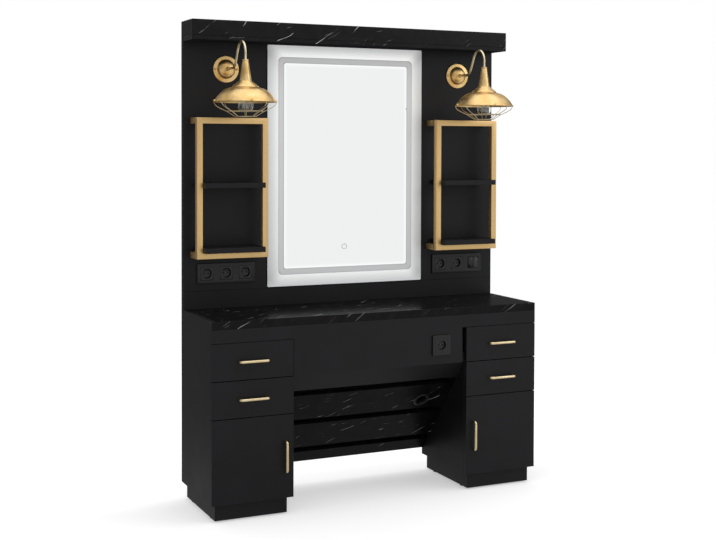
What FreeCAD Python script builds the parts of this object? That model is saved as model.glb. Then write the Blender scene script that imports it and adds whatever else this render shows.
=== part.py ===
import FreeCAD, Part
import math
import os

# Salon dressing station with one working side: two pedestals with drawers and a cupboard each,
# a worktop between them, a tall back panel with a lit mirror, two shelf frames, sockets, two
# swan-neck lamps and a header box. Millimetres, +Z up, X across the width, the user stands at -Y.
# The origin is on the floor under the middle of the whole outline, handles included.

os.makedirs("parts", exist_ok=True)
V = FreeCAD.Vector

# --- overall sizes ---
station_width = 1500.0
cabinet_depth = 410.0
total_height = 2018.0
counter_height = 803.0
carcass_bottom = 70.0
pedestal_width = 348.0

# --- boards and the gaps between them ---
side_board = 16.0
board = 18.0
rear_board_thickness = 10.0
worktop_thickness = 33.0
edge_ease = 0.8
front_gap = 3.0
carcass_gap = 0.6
fit_gap = 0.3

# --- drawers, doors and the front rail ---
rail_height = 55.0
drawer_front_pitch = 151.5
tray_height = 88.0
tray_wall = 2.0
tray_lift = 22.0
tray_back_room = 32.0
runner_width = 12.0
runner_height = 20.0
runner_slot_depth = 8.5
runner_slot_height = 5.2
runner_running_gap = 0.4
tray_side_gap = 2.0
runner_front_room = 2.0
runner_end_stop = 10.0
tongue_bottom_room = 1.5
tongue_root = 0.5
tongue_front_room = 12.0
apron_slot = 20.0
apron_side_gap = 1.0
hinge_cup_radius = 17.5
hinge_cup_depth = 11.0
hinge_cup_inset = 22.5
hinge_from_door_end = 70.0
hinge_tip_gap = 0.4
hinge_plate_thickness = 10.0
hinge_plate_depth = 60.0
hinge_plate_height = 44.0
hinge_arm_height = 16.0
hinge_arm_depth = 14.0
hinge_arm_root = 5.0

# --- handles ---
handle_centres = 122.0
handle_rod = 12.0
handle_bar_out = 22.0
handle_bend = 11.0
door_handle_inset = 36.0
handle_reach = handle_bar_out + handle_rod / 2

# --- plinth and feet ---
plinth_side_inset = 20.0
plinth_front_inset = 23.0
plinth_back_inset = 12.0
foot_height = 5.0
foot_radius = 13.0
foot_edge = 2.0
foot_depth_inset = 65.0

# --- raked panel under the worktop ---
rake_bottom = 102.0
slat_width = 161.0
slat_gap = 35.0
bottom_slat_width = 69.0
bearer_width = 22.0
bearer_depth = 28.0
grommet_x = 273.0
grommet_below_middle = 22.0
grommet_flange_radius = 37.0
grommet_sleeve_radius = 31.0
grommet_hole_radius = 25.0
grommet_flange = 3.0
grommet_flange_round = 1.8

# --- back panel and header ---
splash_height = 77.0
header_height = 84.0
header_depth = 154.0
mirror_width = 750.0
mirror_glass_thickness = 5.0
mirror_bottom_gap = 4.0
mirror_top_gap = 1.0
mirror_corner = 6.0
tray_inset = 12.0
mirror_tray_wall = 2.0
light_band_inset = 50.0
light_band_width = 27.0
light_band_corner = 20.0
light_band_depth = 3.0
led_tape_width = 12.0
led_tape_thickness = 3.0

# --- shelf frames ---
frame_width = 315.0
frame_above_splash = 144.0
frame_below_header = 320.0
frame_out = 96.0
frame_tube = 25.0
frame_tube_wall = 1.5
shelf_out = 133.0
shelf_thickness = 22.0
middle_shelf_above_middle = 1.0
column_x = station_width / 2 - 30.0 - frame_width / 2

# --- sockets and switch ---
gang = 86.0
plate_proud = 8.0
plate_corner = 4.0
insert_size = 56.0
insert_body = 50.0
socket_row_above_splash = 74.0
apron_socket_x = 276.0
apron_socket_rise = 82.0
socket_wells = (-gang, 0.0, gang)
well_radius = 19.5
well_depth = 13.0
pin_hole_radius = 2.5
pin_hole_spacing = 19.0
rocker_gap = 0.5
rocker_thickness = 7.0
rocker_crown = 2.0
rocker_tilt = 4.0
rocker_back_room = 3.0
rocker_window_frame = 2.0
rocker_pin_radius = 1.5
rocker_back_taper = 1.0

# --- lamps: a pair holds a radius and a drop below the arm's fixing ---
lamp_below_header = 112.0
rosette_radius = 57.5
rosette_plate = 5.0
rosette_dome_radius = 36.0
rosette_dome_height = 22.0
rosette_step = 3.0
rosette_edge = (3.0, 2.0)
rosette_crown_edge = 4.0
rosette_bulge = (25.9, 20.9)
arm_radius = 5.2
arm_wall = 1.5
arm_reach = 247.5
arm_rise_start = 116.0
arm_rise_angle = 62.4
arm_bend = 48.0
neck_top_rise = 27.0
neck_bottom_drop = 60.0
neck_top_radius = 13.3
neck_collar = 8.0
neck_bottom_radius = 25.0
neck_flare = (54.0, 83.0)
flare_step = 3.0
dome_shoulder = (81.0, 94.0)
dome_middle = (109.0, 117.0)
rim_radius = 129.5
rim_drop = 143.0
rim_lip = 4.0
rim_lip_in = 0.5
rim_lip_out = 1.5
shade_wall = 1.5
neck_hole_gap = 0.1
holder_radius = 18.0
holder_bottom_drop = 110.0
holder_top_drop = 47.0
holder_round = 4.0
bulb_radius = 32.0
bulb_bottom_drop = 183.0
bulb_neck_radius = 13.0
bulb_neck_length = 6.0
bulb_shoulder_drop = 26.0
bulb_foot_rise = 18.0
bulb_wall = 1.5
cage_wires = 8
cage_wire = 3.0
cage_ring_radii = (75.0, 41.0)
cage_ring_drops = (185.0, 207.0)
cage_bulge = (115.0, 165.0)
cage_rim_inset = 0.5
cage_ring_inset = 2.7
cage_ring_rise = 1.65

# --- places worked out from the sizes above ---
half_width = station_width / 2
back_y = (cabinet_depth + handle_reach) / 2
pedestal_inner = half_width - pedestal_width
inside_outer = half_width - side_board
inside_inner = pedestal_inner + board
panel_front = rear_board_thickness + board
front_back = cabinet_depth - board
carcass_front = front_back - carcass_gap
carcass_top = counter_height - worktop_thickness
rail_bottom = carcass_top - rail_height
drawer_line_1 = rail_bottom - drawer_front_pitch
drawer_line_2 = drawer_line_1 - drawer_front_pitch
soffit_bottom = total_height - header_height
top_board_bottom = total_height - board
splash_top = counter_height + splash_height
fascia_back = header_depth - board
mirror_bottom = splash_top + mirror_bottom_gap
mirror_top = soffit_bottom - mirror_top_gap
socket_row_height = splash_top + socket_row_above_splash
apron_socket_height = drawer_line_1 + apron_socket_rise
frame_bottom = splash_top + frame_above_splash
frame_top = soffit_bottom - frame_below_header
middle_shelf_bottom = (frame_bottom + frame_top) / 2 + middle_shelf_above_middle
lamp_height = soffit_bottom - lamp_below_header
neck_top = lamp_height + neck_top_rise
neck_bottom = lamp_height - neck_bottom_drop
rim_height = lamp_height - rim_drop
holder_bottom = lamp_height - holder_bottom_drop
holder_top = lamp_height - holder_top_drop
bulb_bottom = lamp_height - bulb_bottom_drop


def save(name, *shapes):
    """Write one node: a single solid, or a group of separate solids."""
    shape = shapes[0] if len(shapes) == 1 else Part.makeCompound(list(shapes))
    if not shape.isValid():
        raise ValueError(name + " is not a valid shape")
    shape.exportStep("parts/" + name + ".step")


def slab(x0, x1, out0, out1, z0, z1, ease=edge_ease):
    """A board: across X, out from the back face of the station, and up; its edges are eased."""
    solid = Part.makeBox(x1 - x0, out1 - out0, z1 - z0, V(x0, back_y - out1, z0))
    return solid.makeChamfer(ease, solid.Edges) if ease else solid


def rod_along_y(x, z, radius, out0, out1):
    """A round bar or hole that runs out from the back face."""
    return Part.makeCylinder(radius, out1 - out0, V(x, back_y - out1, z), V(0, 1, 0))


def mirrored(shape):
    """The same piece on the other side of the station."""
    return shape.mirror(V(0, 0, 0), V(1, 0, 0))


def moved(shape, x=0.0, z=0.0):
    copy = shape.copy()
    copy.translate(V(x, 0, z))
    return copy


def rounded_plate(x0, x1, out0, out1, z0, z1, radius):
    """A plate facing the user with its four corners rounded."""
    plate = Part.makeBox(x1 - x0, out1 - out0, z1 - z0, V(x0, back_y - out1, z0))
    corners = [e for e in plate.Edges if abs(e.tangentAt(e.FirstParameter).y) > 0.9]
    return plate.makeFillet(radius, corners)


def pipe(points, bends, radius):
    """A round rod along straight runs joined by arcs; bends holds one radius per inner point."""
    edges = []
    start = points[0]
    for i, bend in enumerate(bends, 1):
        corner = points[i]
        before = (points[i - 1] - corner).normalize()
        after = (points[i + 1] - corner).normalize()
        half = before.getAngle(after) / 2
        run = bend / math.tan(half)
        middle = corner + (before + after).normalize() * (bend / math.sin(half) - bend)
        arc_start = corner + before * run
        arc_end = corner + after * run
        edges.append(Part.LineSegment(start, arc_start).toShape())
        edges.append(Part.Arc(arc_start, middle, arc_end).toShape())
        start = arc_end
    edges.append(Part.LineSegment(start, points[-1]).toShape())
    path = Part.Wire(edges)
    section = Part.Wire([Part.makeCircle(radius, points[0], points[1] - points[0])])
    return path.makePipeShell([section], True, True)


def turned(edges_or_points, x, out):
    """A solid of revolution about an upright axis; the outline is radii and heights."""
    y = back_y - out
    edges = []
    for piece in edges_or_points:
        ends = [V(x + r, y, z) for r, z in piece]
        if len(ends) == 3:
            edges.append(Part.Arc(*ends).toShape())
        else:
            edges.append(Part.LineSegment(*ends).toShape())
    face = Part.Face(Part.Wire(edges))
    return face.revolve(V(x, y, 0), V(0, 0, 1), 360)


def outline(points, closed=True):
    """Straight pieces from point to point."""
    ends = points[1:] + points[:1] if closed else points[1:]
    return [(a, b) for a, b in zip(points, ends)]


# --- carcass ---
def build_rear_board():
    sheet = slab(-half_width, half_width, 0, rear_board_thickness, carcass_bottom, top_board_bottom)
    notch = slab(-pedestal_inner, pedestal_inner, -1, rear_board_thickness + 1,
                 carcass_bottom - 1, rake_bottom, 0)
    sheet = sheet.cut(notch)
    for side in (-1, 1):
        sheet = sheet.cut(rod_along_y(side * column_x, lamp_height, arm_radius, -1, panel_front))
    save("rear_board", sheet)


def build_carcass():
    """Side boards stand behind the fronts; the worktop's front edge laps over them."""
    outer = slab(inside_outer, half_width, rear_board_thickness, carcass_front,
                 carcass_bottom, counter_height)
    save("side_panel_right", outer)
    save("side_panel_left", mirrored(outer))
    inner = slab(pedestal_inner, inside_inner, rear_board_thickness, carcass_front,
                 carcass_bottom, carcass_top)
    save("inner_sides", mirrored(inner), inner)
    floor = slab(inside_inner, inside_outer, rear_board_thickness, carcass_front,
                 carcass_bottom, carcass_bottom + board)
    divider = moved(floor, z=drawer_line_2 - board / 2 - carcass_bottom)
    save("pedestal_decks", mirrored(floor), mirrored(divider), floor, divider)
    corners = [(-inside_outer, rear_board_thickness), (inside_outer, rear_board_thickness),
               (inside_outer, front_back), (half_width, front_back), (half_width, cabinet_depth),
               (-half_width, cabinet_depth), (-half_width, front_back), (-inside_outer, front_back)]
    points = [V(x, back_y - out, carcass_top) for x, out in corners]
    worktop = Part.Face(Part.makePolygon(points + points[:1])).extrude(V(0, 0, worktop_thickness))
    save("worktop", worktop.makeChamfer(edge_ease, worktop.Edges))


def build_plinths():
    x0 = pedestal_inner + plinth_side_inset
    x1 = half_width - plinth_side_inset
    out1 = cabinet_depth - plinth_front_inset
    ring = slab(x0, x1, plinth_back_inset, out1, foot_height, carcass_bottom)
    hollow = slab(x0 + board, x1 - board, plinth_back_inset + board, out1 - board,
                  foot_height - 1, carcass_bottom + 1, 0)
    ring = ring.cut(hollow)
    save("plinths", mirrored(ring), ring)
    feet = []
    reach = foot_radius + foot_edge
    for x in (x0 + reach, x1 - reach):
        for out in (plinth_back_inset + foot_depth_inset, out1 - foot_depth_inset):
            foot = Part.makeCylinder(foot_radius, foot_height, V(x, back_y - out, 0))
            foot = foot.makeChamfer(edge_ease, [foot.Edges[2]])
            feet += [mirrored(foot), foot]
    save("glide_feet", *feet)


def build_apron():
    """The front rail runs over both pedestals; between them it drops down as the apron."""
    left = -pedestal_inner + apron_side_gap
    right = pedestal_inner - apron_slot
    corners = [(-half_width, carcass_top), (half_width, carcass_top), (half_width, rail_bottom),
               (right, rail_bottom), (right, drawer_line_1), (left, drawer_line_1),
               (left, rail_bottom), (-half_width, rail_bottom)]
    points = [V(x, back_y - cabinet_depth, z) for x, z in corners]
    face = Part.Face(Part.makePolygon(points + points[:1]))
    apron = face.extrude(V(0, board, 0))
    half_hole = insert_body / 2 + fit_gap
    hole = slab(apron_socket_x - half_hole, apron_socket_x + half_hole, front_back - 1, cabinet_depth + 1,
                apron_socket_height - half_hole, apron_socket_height + half_hole, 0)
    save("apron", apron.makeChamfer(edge_ease, apron.Edges).cut(hole))


# --- raked panel: boards along a slope from the foot of the rear board up to the apron ---
rake_run = front_back - rear_board_thickness
rake_rise = drawer_line_1 - rake_bottom
rake_length = math.hypot(rake_run, rake_rise)
rake_angle = math.degrees(math.atan2(rake_rise, rake_run))


def on_rake(solid):
    """Lay a solid made in slope coordinates (x, up the slope, into the station) on the slope."""
    solid = solid.copy()
    solid.rotate(V(0, 0, 0), V(1, 0, 0), 180 - rake_angle)
    solid.translate(V(0, back_y - rear_board_thickness, rake_bottom))
    return solid


def rake_board(x0, x1, up0, up1, depth0, depth1):
    return on_rake(Part.makeBox(x1 - x0, up1 - up0, depth1 - depth0, V(x0, up0, -depth1)))


def rake_room():
    """The room between the rear board and the apron that the raked boards are cut to."""
    return slab(-pedestal_inner, pedestal_inner, rear_board_thickness, front_back,
                rake_bottom, carcass_top, 0)


def build_raked_panel():
    half = pedestal_inner - fit_gap
    room = rake_room()
    middle_start = bottom_slat_width + slat_gap
    upper_start = middle_start + slat_width + slat_gap
    top_start = upper_start + slat_width + slat_gap
    save("kick_slat_lower", rake_board(-half, half, 0, bottom_slat_width, 0, board).common(room))
    save("kick_slat_middle", rake_board(-half, half, middle_start, middle_start + slat_width, 0, board))
    centre = upper_start + slat_width / 2 - grommet_below_middle
    hole = Part.makeCylinder(grommet_sleeve_radius + fit_gap, board + 2, V(grommet_x, centre, -board - 1))
    upper = rake_board(-half, half, upper_start, upper_start + slat_width, 0, board)
    save("kick_slat_upper", upper.cut(on_rake(hole)))
    save("kick_top_board",
         rake_board(-half, half, top_start, rake_length + board, 0, board).common(room))
    bearer = rake_board(half - bearer_width, half, 0, rake_length + bearer_depth,
                        board, board + bearer_depth).common(room)
    save("kick_bearers", mirrored(bearer), bearer)
    flange = Part.makeCylinder(grommet_flange_radius, grommet_flange, V(grommet_x, centre, 0))
    flange = flange.makeFillet(grommet_flange_round, [flange.Edges[0]])
    sleeve = Part.makeCylinder(grommet_sleeve_radius, board, V(grommet_x, centre, -board))
    bore = Part.makeCylinder(grommet_hole_radius, board + grommet_flange + 2,
                             V(grommet_x, centre, -board - 1))
    save("cable_grommet", on_rake(flange.fuse(sleeve).cut(bore).removeSplitter()))


# --- back panel, header and mirror ---
def build_back_panel():
    save("splash_strip", slab(-half_width, half_width, rear_board_thickness, panel_front,
                              counter_height, splash_top))
    panel = slab(-half_width, half_width, rear_board_thickness, panel_front, splash_top, top_board_bottom)
    half = mirror_width / 2 - tray_inset + fit_gap
    panel = panel.cut(slab(-half, half, rear_board_thickness - 1, panel_front + 1,
                           mirror_bottom + tray_inset - fit_gap, mirror_top - tray_inset + fit_gap, 0))
    half_hole = insert_body / 2 + fit_gap
    for side in (-1, 1):
        panel = panel.cut(rod_along_y(side * column_x, lamp_height, arm_radius, 0, panel_front + 1))
        for place in socket_wells:
            x = side * column_x + place
            panel = panel.cut(slab(x - half_hole, x + half_hole, rear_board_thickness - 1, panel_front + 1,
                                   socket_row_height - half_hole, socket_row_height + half_hole, 0))
    save("upper_panel", panel)


def build_header():
    save("header_soffit", slab(-half_width, half_width, panel_front, header_depth,
                               soffit_bottom, soffit_bottom + board))
    save("header_fascia", slab(-half_width, half_width, fascia_back, header_depth,
                               soffit_bottom + board, total_height))
    save("header_top", slab(-half_width, half_width, 0, fascia_back, top_board_bottom, total_height))
    end = slab(inside_outer, half_width, panel_front, fascia_back, soffit_bottom + board, top_board_bottom)
    save("header_ends", mirrored(end), end)


def band_ring(inset, width, out0, out1):
    """A rounded rectangular ring that follows the mirror's outline at an inset."""
    half = mirror_width / 2 - inset
    outer = rounded_plate(-half, half, out0, out1, mirror_bottom + inset, mirror_top - inset,
                          light_band_corner)
    inner = rounded_plate(-half + width, half - width, out0 - 1, out1 + 1, mirror_bottom + inset + width,
                          mirror_top - inset - width, light_band_corner / 2)
    return outer.cut(inner)


def build_mirror():
    half = mirror_width / 2
    glass_front = panel_front + mirror_glass_thickness
    glass = rounded_plate(-half, half, panel_front, glass_front, mirror_bottom, mirror_top, mirror_corner)
    groove = band_ring(light_band_inset, light_band_width, glass_front - light_band_depth, glass_front + 1)
    save("mirror_glass", glass.cut(groove))
    save("light_band", band_ring(light_band_inset + fit_gap / 2, light_band_width - fit_gap,
                                 glass_front - light_band_depth, glass_front))
    half_tray = half - tray_inset
    low = mirror_bottom + tray_inset
    high = mirror_top - tray_inset
    wall = mirror_tray_wall
    tray = slab(-half_tray, half_tray, rear_board_thickness, panel_front, low, high, 0)
    inside = slab(-half_tray + wall, half_tray - wall, rear_board_thickness + wall, panel_front + 1,
                  low + wall, high - wall, 0)
    save("mirror_tray", tray.cut(inside))
    tape_inset = light_band_inset + (light_band_width - led_tape_width) / 2
    tape_back = rear_board_thickness + wall
    save("led_tape", band_ring(tape_inset, led_tape_width, tape_back, tape_back + led_tape_thickness))


# --- shelf frames and shelves ---
def frame_bars(inset):
    """The bars of one frame about x = 0, each face moved in by inset, to stand on the panel."""
    half = frame_width / 2
    back = panel_front + frame_out - frame_tube
    front = panel_front + frame_out
    bars = []
    for z in (frame_bottom, frame_top - frame_tube):
        bars.append(slab(-half + inset, half - inset, back + inset, front - inset,
                         z + inset, z + frame_tube - inset, 0))
        for x in (-half, half - frame_tube):
            bars.append(slab(x + inset, x + frame_tube - inset, panel_front - inset, front - inset,
                             z + inset, z + frame_tube - inset, 0))
    for x in (-half, half - frame_tube):
        bars.append(slab(x + inset, x + frame_tube - inset, back + inset, front - inset,
                         frame_bottom + inset, frame_top - inset, 0))
    return bars[0].multiFuse(bars[1:]).removeSplitter()


def build_shelf_frames():
    frame = frame_bars(0).cut(frame_bars(frame_tube_wall))
    half = frame_width / 2 - frame_tube - fit_gap
    lower_bottom = frame_bottom + frame_tube
    lower = slab(-half, half, panel_front, panel_front + shelf_out, lower_bottom,
                 lower_bottom + shelf_thickness)
    middle = moved(lower, z=middle_shelf_bottom - lower_bottom)
    for name, x in (("left", -column_x), ("right", column_x)):
        save("shelf_frame_" + name, moved(frame, x=x))
        save("shelves_" + name, moved(lower, x=x), moved(middle, x=x))


# --- sockets and switch ---
def socket_plate(x, z, gangs, face):
    half = gang * gangs / 2
    plate = rounded_plate(x - half, x + half, face, face + plate_proud, z - gang / 2, z + gang / 2,
                          plate_corner)
    window = insert_size / 2 + fit_gap
    for i in range(gangs):
        middle = x + (i - (gangs - 1) / 2) * gang
        plate = plate.cut(slab(middle - window, middle + window, face - 1, face + plate_proud + 1,
                               z - window, z + window, 0))
    return plate


def insert_blank(x, z, face):
    """The module behind one window: a square face in the plate and a smaller body in the board."""
    head = insert_size / 2
    body = insert_body / 2
    front = slab(x - head, x + head, face, face + plate_proud, z - head, z + head, 0)
    back = slab(x - body, x + body, face - board, face, z - body, z + body, 0)
    return front.fuse(back)


def socket_insert(x, z, face):
    front = face + plate_proud
    insert = insert_blank(x, z, face).cut(rod_along_y(x, z, well_radius, front - well_depth, front + 1))
    for side in (-1, 1):
        pin = rod_along_y(x + side * pin_hole_spacing / 2, z, pin_hole_radius,
                          face - board / 2, front - well_depth + 1)
        insert = insert.cut(pin)
    return insert


def switch_insert(x, z, face):
    """A module with two upright windows, one for each rocker."""
    insert = insert_blank(x, z, face)
    width, height = rocker_size()
    for side in (-1, 1):
        centre = x + side * rocker_offset()
        insert = insert.cut(slab(centre - width / 2 - rocker_gap, centre + width / 2 + rocker_gap,
                                 face + plate_proud - rocker_thickness - rocker_back_room,
                                 face + plate_proud + 1,
                                 z - height / 2 - rocker_gap, z + height / 2 + rocker_gap, 0))
    return insert


def rocker_size():
    frame = rocker_window_frame
    return (insert_size - 3 * frame) / 2 - 2 * rocker_gap, insert_size - 2 * frame - 2 * rocker_gap


def rocker_offset():
    frame = rocker_window_frame
    return (insert_size - 3 * frame) / 4 + frame / 2


def rocker(x, z, tilt):
    """One rocker key on a pin across its middle, tilted to one of its two resting places."""
    width, height = rocker_size()
    front = panel_front + plate_proud
    pivot_out = front - rocker_thickness + rocker_pin_radius
    back_half = height / 2 - rocker_back_taper
    corners = [(pivot_out, -back_half), (front - rocker_crown, -height / 2),
               (front + rocker_crown, -height / 6), (front + rocker_crown, height / 6),
               (front - rocker_crown, height / 2), (pivot_out, back_half)]
    points = [V(x - width / 2, back_y - out, z + up) for out, up in corners]
    key = Part.Face(Part.makePolygon(points + points[:1])).extrude(V(width, 0, 0))
    pivot = V(x - width / 2 - rocker_gap, back_y - pivot_out, z)
    pin = Part.makeCylinder(rocker_pin_radius, width + 2 * rocker_gap, pivot, V(1, 0, 0))
    key = key.fuse(pin)
    key.rotate(pivot, V(1, 0, 0), tilt)
    return key


def build_sockets():
    plates = [socket_plate(-column_x, socket_row_height, 3, panel_front),
              socket_plate(column_x, socket_row_height, 3, panel_front),
              socket_plate(apron_socket_x, apron_socket_height, 1, cabinet_depth)]
    save("socket_plates", *plates)
    inserts = [socket_insert(-column_x + place, socket_row_height, panel_front)
               for place in socket_wells]
    inserts += [socket_insert(column_x + place, socket_row_height, panel_front)
                for place in socket_wells[:-1]]
    inserts.append(socket_insert(apron_socket_x, apron_socket_height, cabinet_depth))
    switch_x = column_x + gang
    inserts.append(switch_insert(switch_x, socket_row_height, panel_front))
    save("socket_inserts", *inserts)
    save("rocker_left", rocker(switch_x - rocker_offset(), socket_row_height, rocker_tilt))
    save("rocker_right", rocker(switch_x + rocker_offset(), socket_row_height, -rocker_tilt))


# --- lamps ---
lamp_out = panel_front + arm_reach


def at_drop(place):
    radius, drop = place
    return radius, lamp_height - drop


def build_rosette(x):
    wall_y = back_y - panel_front
    dome_start = rosette_plate + rosette_step
    dome_foot = rosette_dome_radius + rosette_step
    edge_in, edge_back = rosette_edge
    bulge_r, bulge_out = rosette_bulge
    points = [(0, 0), (rosette_radius, 0), (rosette_radius, rosette_plate - edge_back),
              (rosette_radius - edge_in, rosette_plate), (dome_foot, rosette_plate),
              (dome_foot, dome_start)]
    edges = [Part.LineSegment(V(x + a[0], wall_y - a[1], lamp_height),
                              V(x + b[0], wall_y - b[1], lamp_height)).toShape()
             for a, b in zip(points, points[1:])]
    top = rosette_plate + rosette_dome_height
    shoulder = V(x + dome_foot, wall_y - dome_start, lamp_height)
    bulge = V(x + bulge_r, wall_y - bulge_out, lamp_height)
    crown = V(x + arm_radius + rosette_crown_edge, wall_y - top, lamp_height)
    edges.append(Part.Arc(shoulder, bulge, crown).toShape())
    edges.append(Part.LineSegment(crown, V(x, wall_y - top, lamp_height)).toShape())
    edges.append(Part.LineSegment(V(x, wall_y - top, lamp_height), V(x, wall_y, lamp_height)).toShape())
    rosette = Part.Face(Part.Wire(edges)).revolve(V(x, 0, lamp_height), V(0, 1, 0), 360)
    return rosette.cut(rod_along_y(x, lamp_height, arm_radius + neck_hole_gap, 0, panel_front + top + 1))


def build_arm(x):
    start = back_y - panel_front
    turn = start - arm_rise_start
    axis = back_y - lamp_out
    slope = math.radians(arm_rise_angle)
    crossing = lamp_height + (turn - axis) * math.tan(slope)
    points = [V(x, start, lamp_height), V(x, turn, lamp_height), V(x, axis, crossing), V(x, axis, holder_top)]
    bends = [arm_bend] * 2
    return pipe(points, bends, arm_radius).cut(pipe(points, bends, arm_radius - arm_wall))


def shade_outline(inset):
    """Outer outline of the shade, or the hollow under it when inset by the wall."""
    top = neck_top if inset == 0 else neck_top - 2 * inset
    flare_r, flare_z = at_drop(neck_flare)
    shoulder_r, shoulder_z = at_drop(dome_shoulder)
    middle_r, middle_z = at_drop(dome_middle)
    low = rim_height - rim_lip - (1 if inset else 0)
    flare = (flare_r - inset, flare_z - inset)
    shoulder = (shoulder_r - inset, shoulder_z - inset)
    rim = (rim_radius - inset, rim_height)
    neck = neck_top_radius - inset
    pieces = outline([(0, low), (0, top), (neck, top), (neck, neck_top - neck_collar),
                      (neck_bottom_radius - inset, neck_bottom), flare,
                      (flare[0], flare[1] - flare_step), shoulder], closed=False)
    pieces.append((shoulder, (middle_r - inset * 0.7, middle_z - inset * 0.7), rim))
    return pieces + outline([rim, (rim[0], low), (0, low)], closed=False)


def build_shade(x):
    shade = turned(shade_outline(0), x, lamp_out).cut(turned(shade_outline(shade_wall), x, lamp_out))
    lip_in = rim_radius - rim_lip_in
    lip_out = rim_radius + rim_lip_out
    lip_low = rim_height - rim_lip
    corners = [(lip_in, rim_height), (lip_out, rim_height), (lip_out, lip_low), (lip_in, lip_low)]
    lip = turned(outline(corners), x, lamp_out)
    hole = Part.makeCylinder(arm_radius + neck_hole_gap, 20, V(x, back_y - lamp_out, neck_top - 10))
    return shade.fuse(lip).cut(hole)


def build_holder(x):
    low = V(x, back_y - lamp_out, holder_bottom)
    body = Part.makeCylinder(holder_radius, holder_top - holder_bottom, low)
    return body.makeFillet(holder_round, [body.Edges[0]])


def bulb_outline(inset):
    """A squat jar bulb, open only at its cap; the hollow is the same outline inset by the wall."""
    cap = holder_bottom + (1 if inset else 0)
    neck = bulb_neck_radius - inset
    belly = bulb_radius - inset
    low = bulb_bottom + inset
    neck_end = (neck, holder_bottom - bulb_neck_length)
    shoulder = (belly, holder_bottom - bulb_shoulder_drop)
    waist = (belly, bulb_bottom + bulb_foot_rise)
    arc_share = 1 - math.cos(math.radians(45))
    neck_bend = (belly - (belly - neck) * arc_share, neck_end[1] - (neck_end[1] - shoulder[1]) * arc_share)
    base = (belly - (waist[1] - low), low)
    foot_bend = (belly - (belly - base[0]) * arc_share, low + (waist[1] - low) * arc_share)
    pieces = outline([(0, low), (0, cap), (neck, cap), neck_end], closed=False)
    pieces += [(neck_end, neck_bend, shoulder), (shoulder, waist), (waist, foot_bend, base)]
    return pieces + [(base, (0, low))]


def build_bulb(x):
    return turned(bulb_outline(0), x, lamp_out).cut(turned(bulb_outline(bulb_wall), x, lamp_out))


def build_cage(x):
    """Bent wires under the rim, with two rings in short lengths lying inside the wires."""
    y = back_y - lamp_out
    wire_r = cage_wire / 2
    ring_r = cage_ring_radii
    ring_z = [lamp_height - drop for drop in cage_ring_drops]
    bulge_r, bulge_z = at_drop(cage_bulge)
    rim_r = rim_radius - wire_r - cage_rim_inset
    rim_z = rim_height - rim_lip - fit_gap
    start = V(x + rim_r, y, rim_z)
    first = Part.Arc(start, V(x + bulge_r, y, bulge_z), V(x + ring_r[0], y, ring_z[0])).toShape()
    second = Part.LineSegment(V(x + ring_r[0], y, ring_z[0]), V(x + ring_r[1], y, ring_z[1])).toShape()
    path = Part.Wire([first, second])
    section = Part.Wire([Part.makeCircle(wire_r, start, first.tangentAt(first.FirstParameter))])
    wire = path.makePipeShell([section], True, False, 2)
    pieces = []
    step = 360.0 / cage_wires
    for i in range(cage_wires):
        turned_wire = wire.copy()
        turned_wire.rotate(V(x, y, 0), V(0, 0, 1), i * step + step / 2)
        pieces.append(turned_wire)
    for radius, height in zip(ring_r, ring_z):
        circle_centre = V(x + radius - cage_ring_inset, y, height + cage_ring_rise)
        face = Part.Face(Part.Wire([Part.makeCircle(wire_r, circle_centre, V(0, 1, 0))]))
        arc = face.revolve(V(x, y, 0), V(0, 0, 1), step)
        for i in range(cage_wires):
            turned_arc = arc.copy()
            turned_arc.rotate(V(x, y, 0), V(0, 0, 1), i * step + step / 2)
            pieces.append(turned_arc)
    return pieces


def build_lamps():
    places = (-column_x, column_x)
    save("lamp_rosettes", *[build_rosette(x) for x in places])
    save("lamp_arms", *[build_arm(x) for x in places])
    save("lamp_shades", *[build_shade(x) for x in places])
    save("lamp_holders", *[build_holder(x) for x in places])
    save("lamp_bulbs", *[build_bulb(x) for x in places])
    save("lamp_cages", *[piece for x in places for piece in build_cage(x)])


# --- drawers, doors and handles ---
def handle(x, z, upright):
    """A bow handle bent from rod; its two ends meet the front."""
    half = handle_centres / 2
    face = back_y - cabinet_depth
    bar = face - handle_bar_out
    across = V(0, 0, half) if upright else V(half, 0, 0)
    centre = V(x, 0, z)
    ends = [centre - across, centre + across]
    points = [V(ends[0].x, face, ends[0].z), V(ends[0].x, bar, ends[0].z),
              V(ends[1].x, bar, ends[1].z), V(ends[1].x, face, ends[1].z)]
    return pipe(points, [handle_bend] * 2, handle_rod / 2)


def runner_channel(wall_x, direction, z):
    """The fixed runner on one side wall: a channel that opens towards the drawer."""
    x_open = wall_x + direction * runner_width
    x_bottom = x_open - direction * runner_slot_depth
    back = rear_board_thickness + tray_back_room / 2
    rail = slab(min(wall_x, x_open), max(wall_x, x_open), back, carcass_front - runner_front_room,
                z - runner_height / 2, z + runner_height / 2, 0)
    slot = slab(min(x_bottom, x_open + direction), max(x_bottom, x_open + direction),
                back + runner_end_stop, cabinet_depth,
                z - runner_slot_height / 2, z + runner_slot_height / 2, 0)
    return rail.cut(slot)


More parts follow.
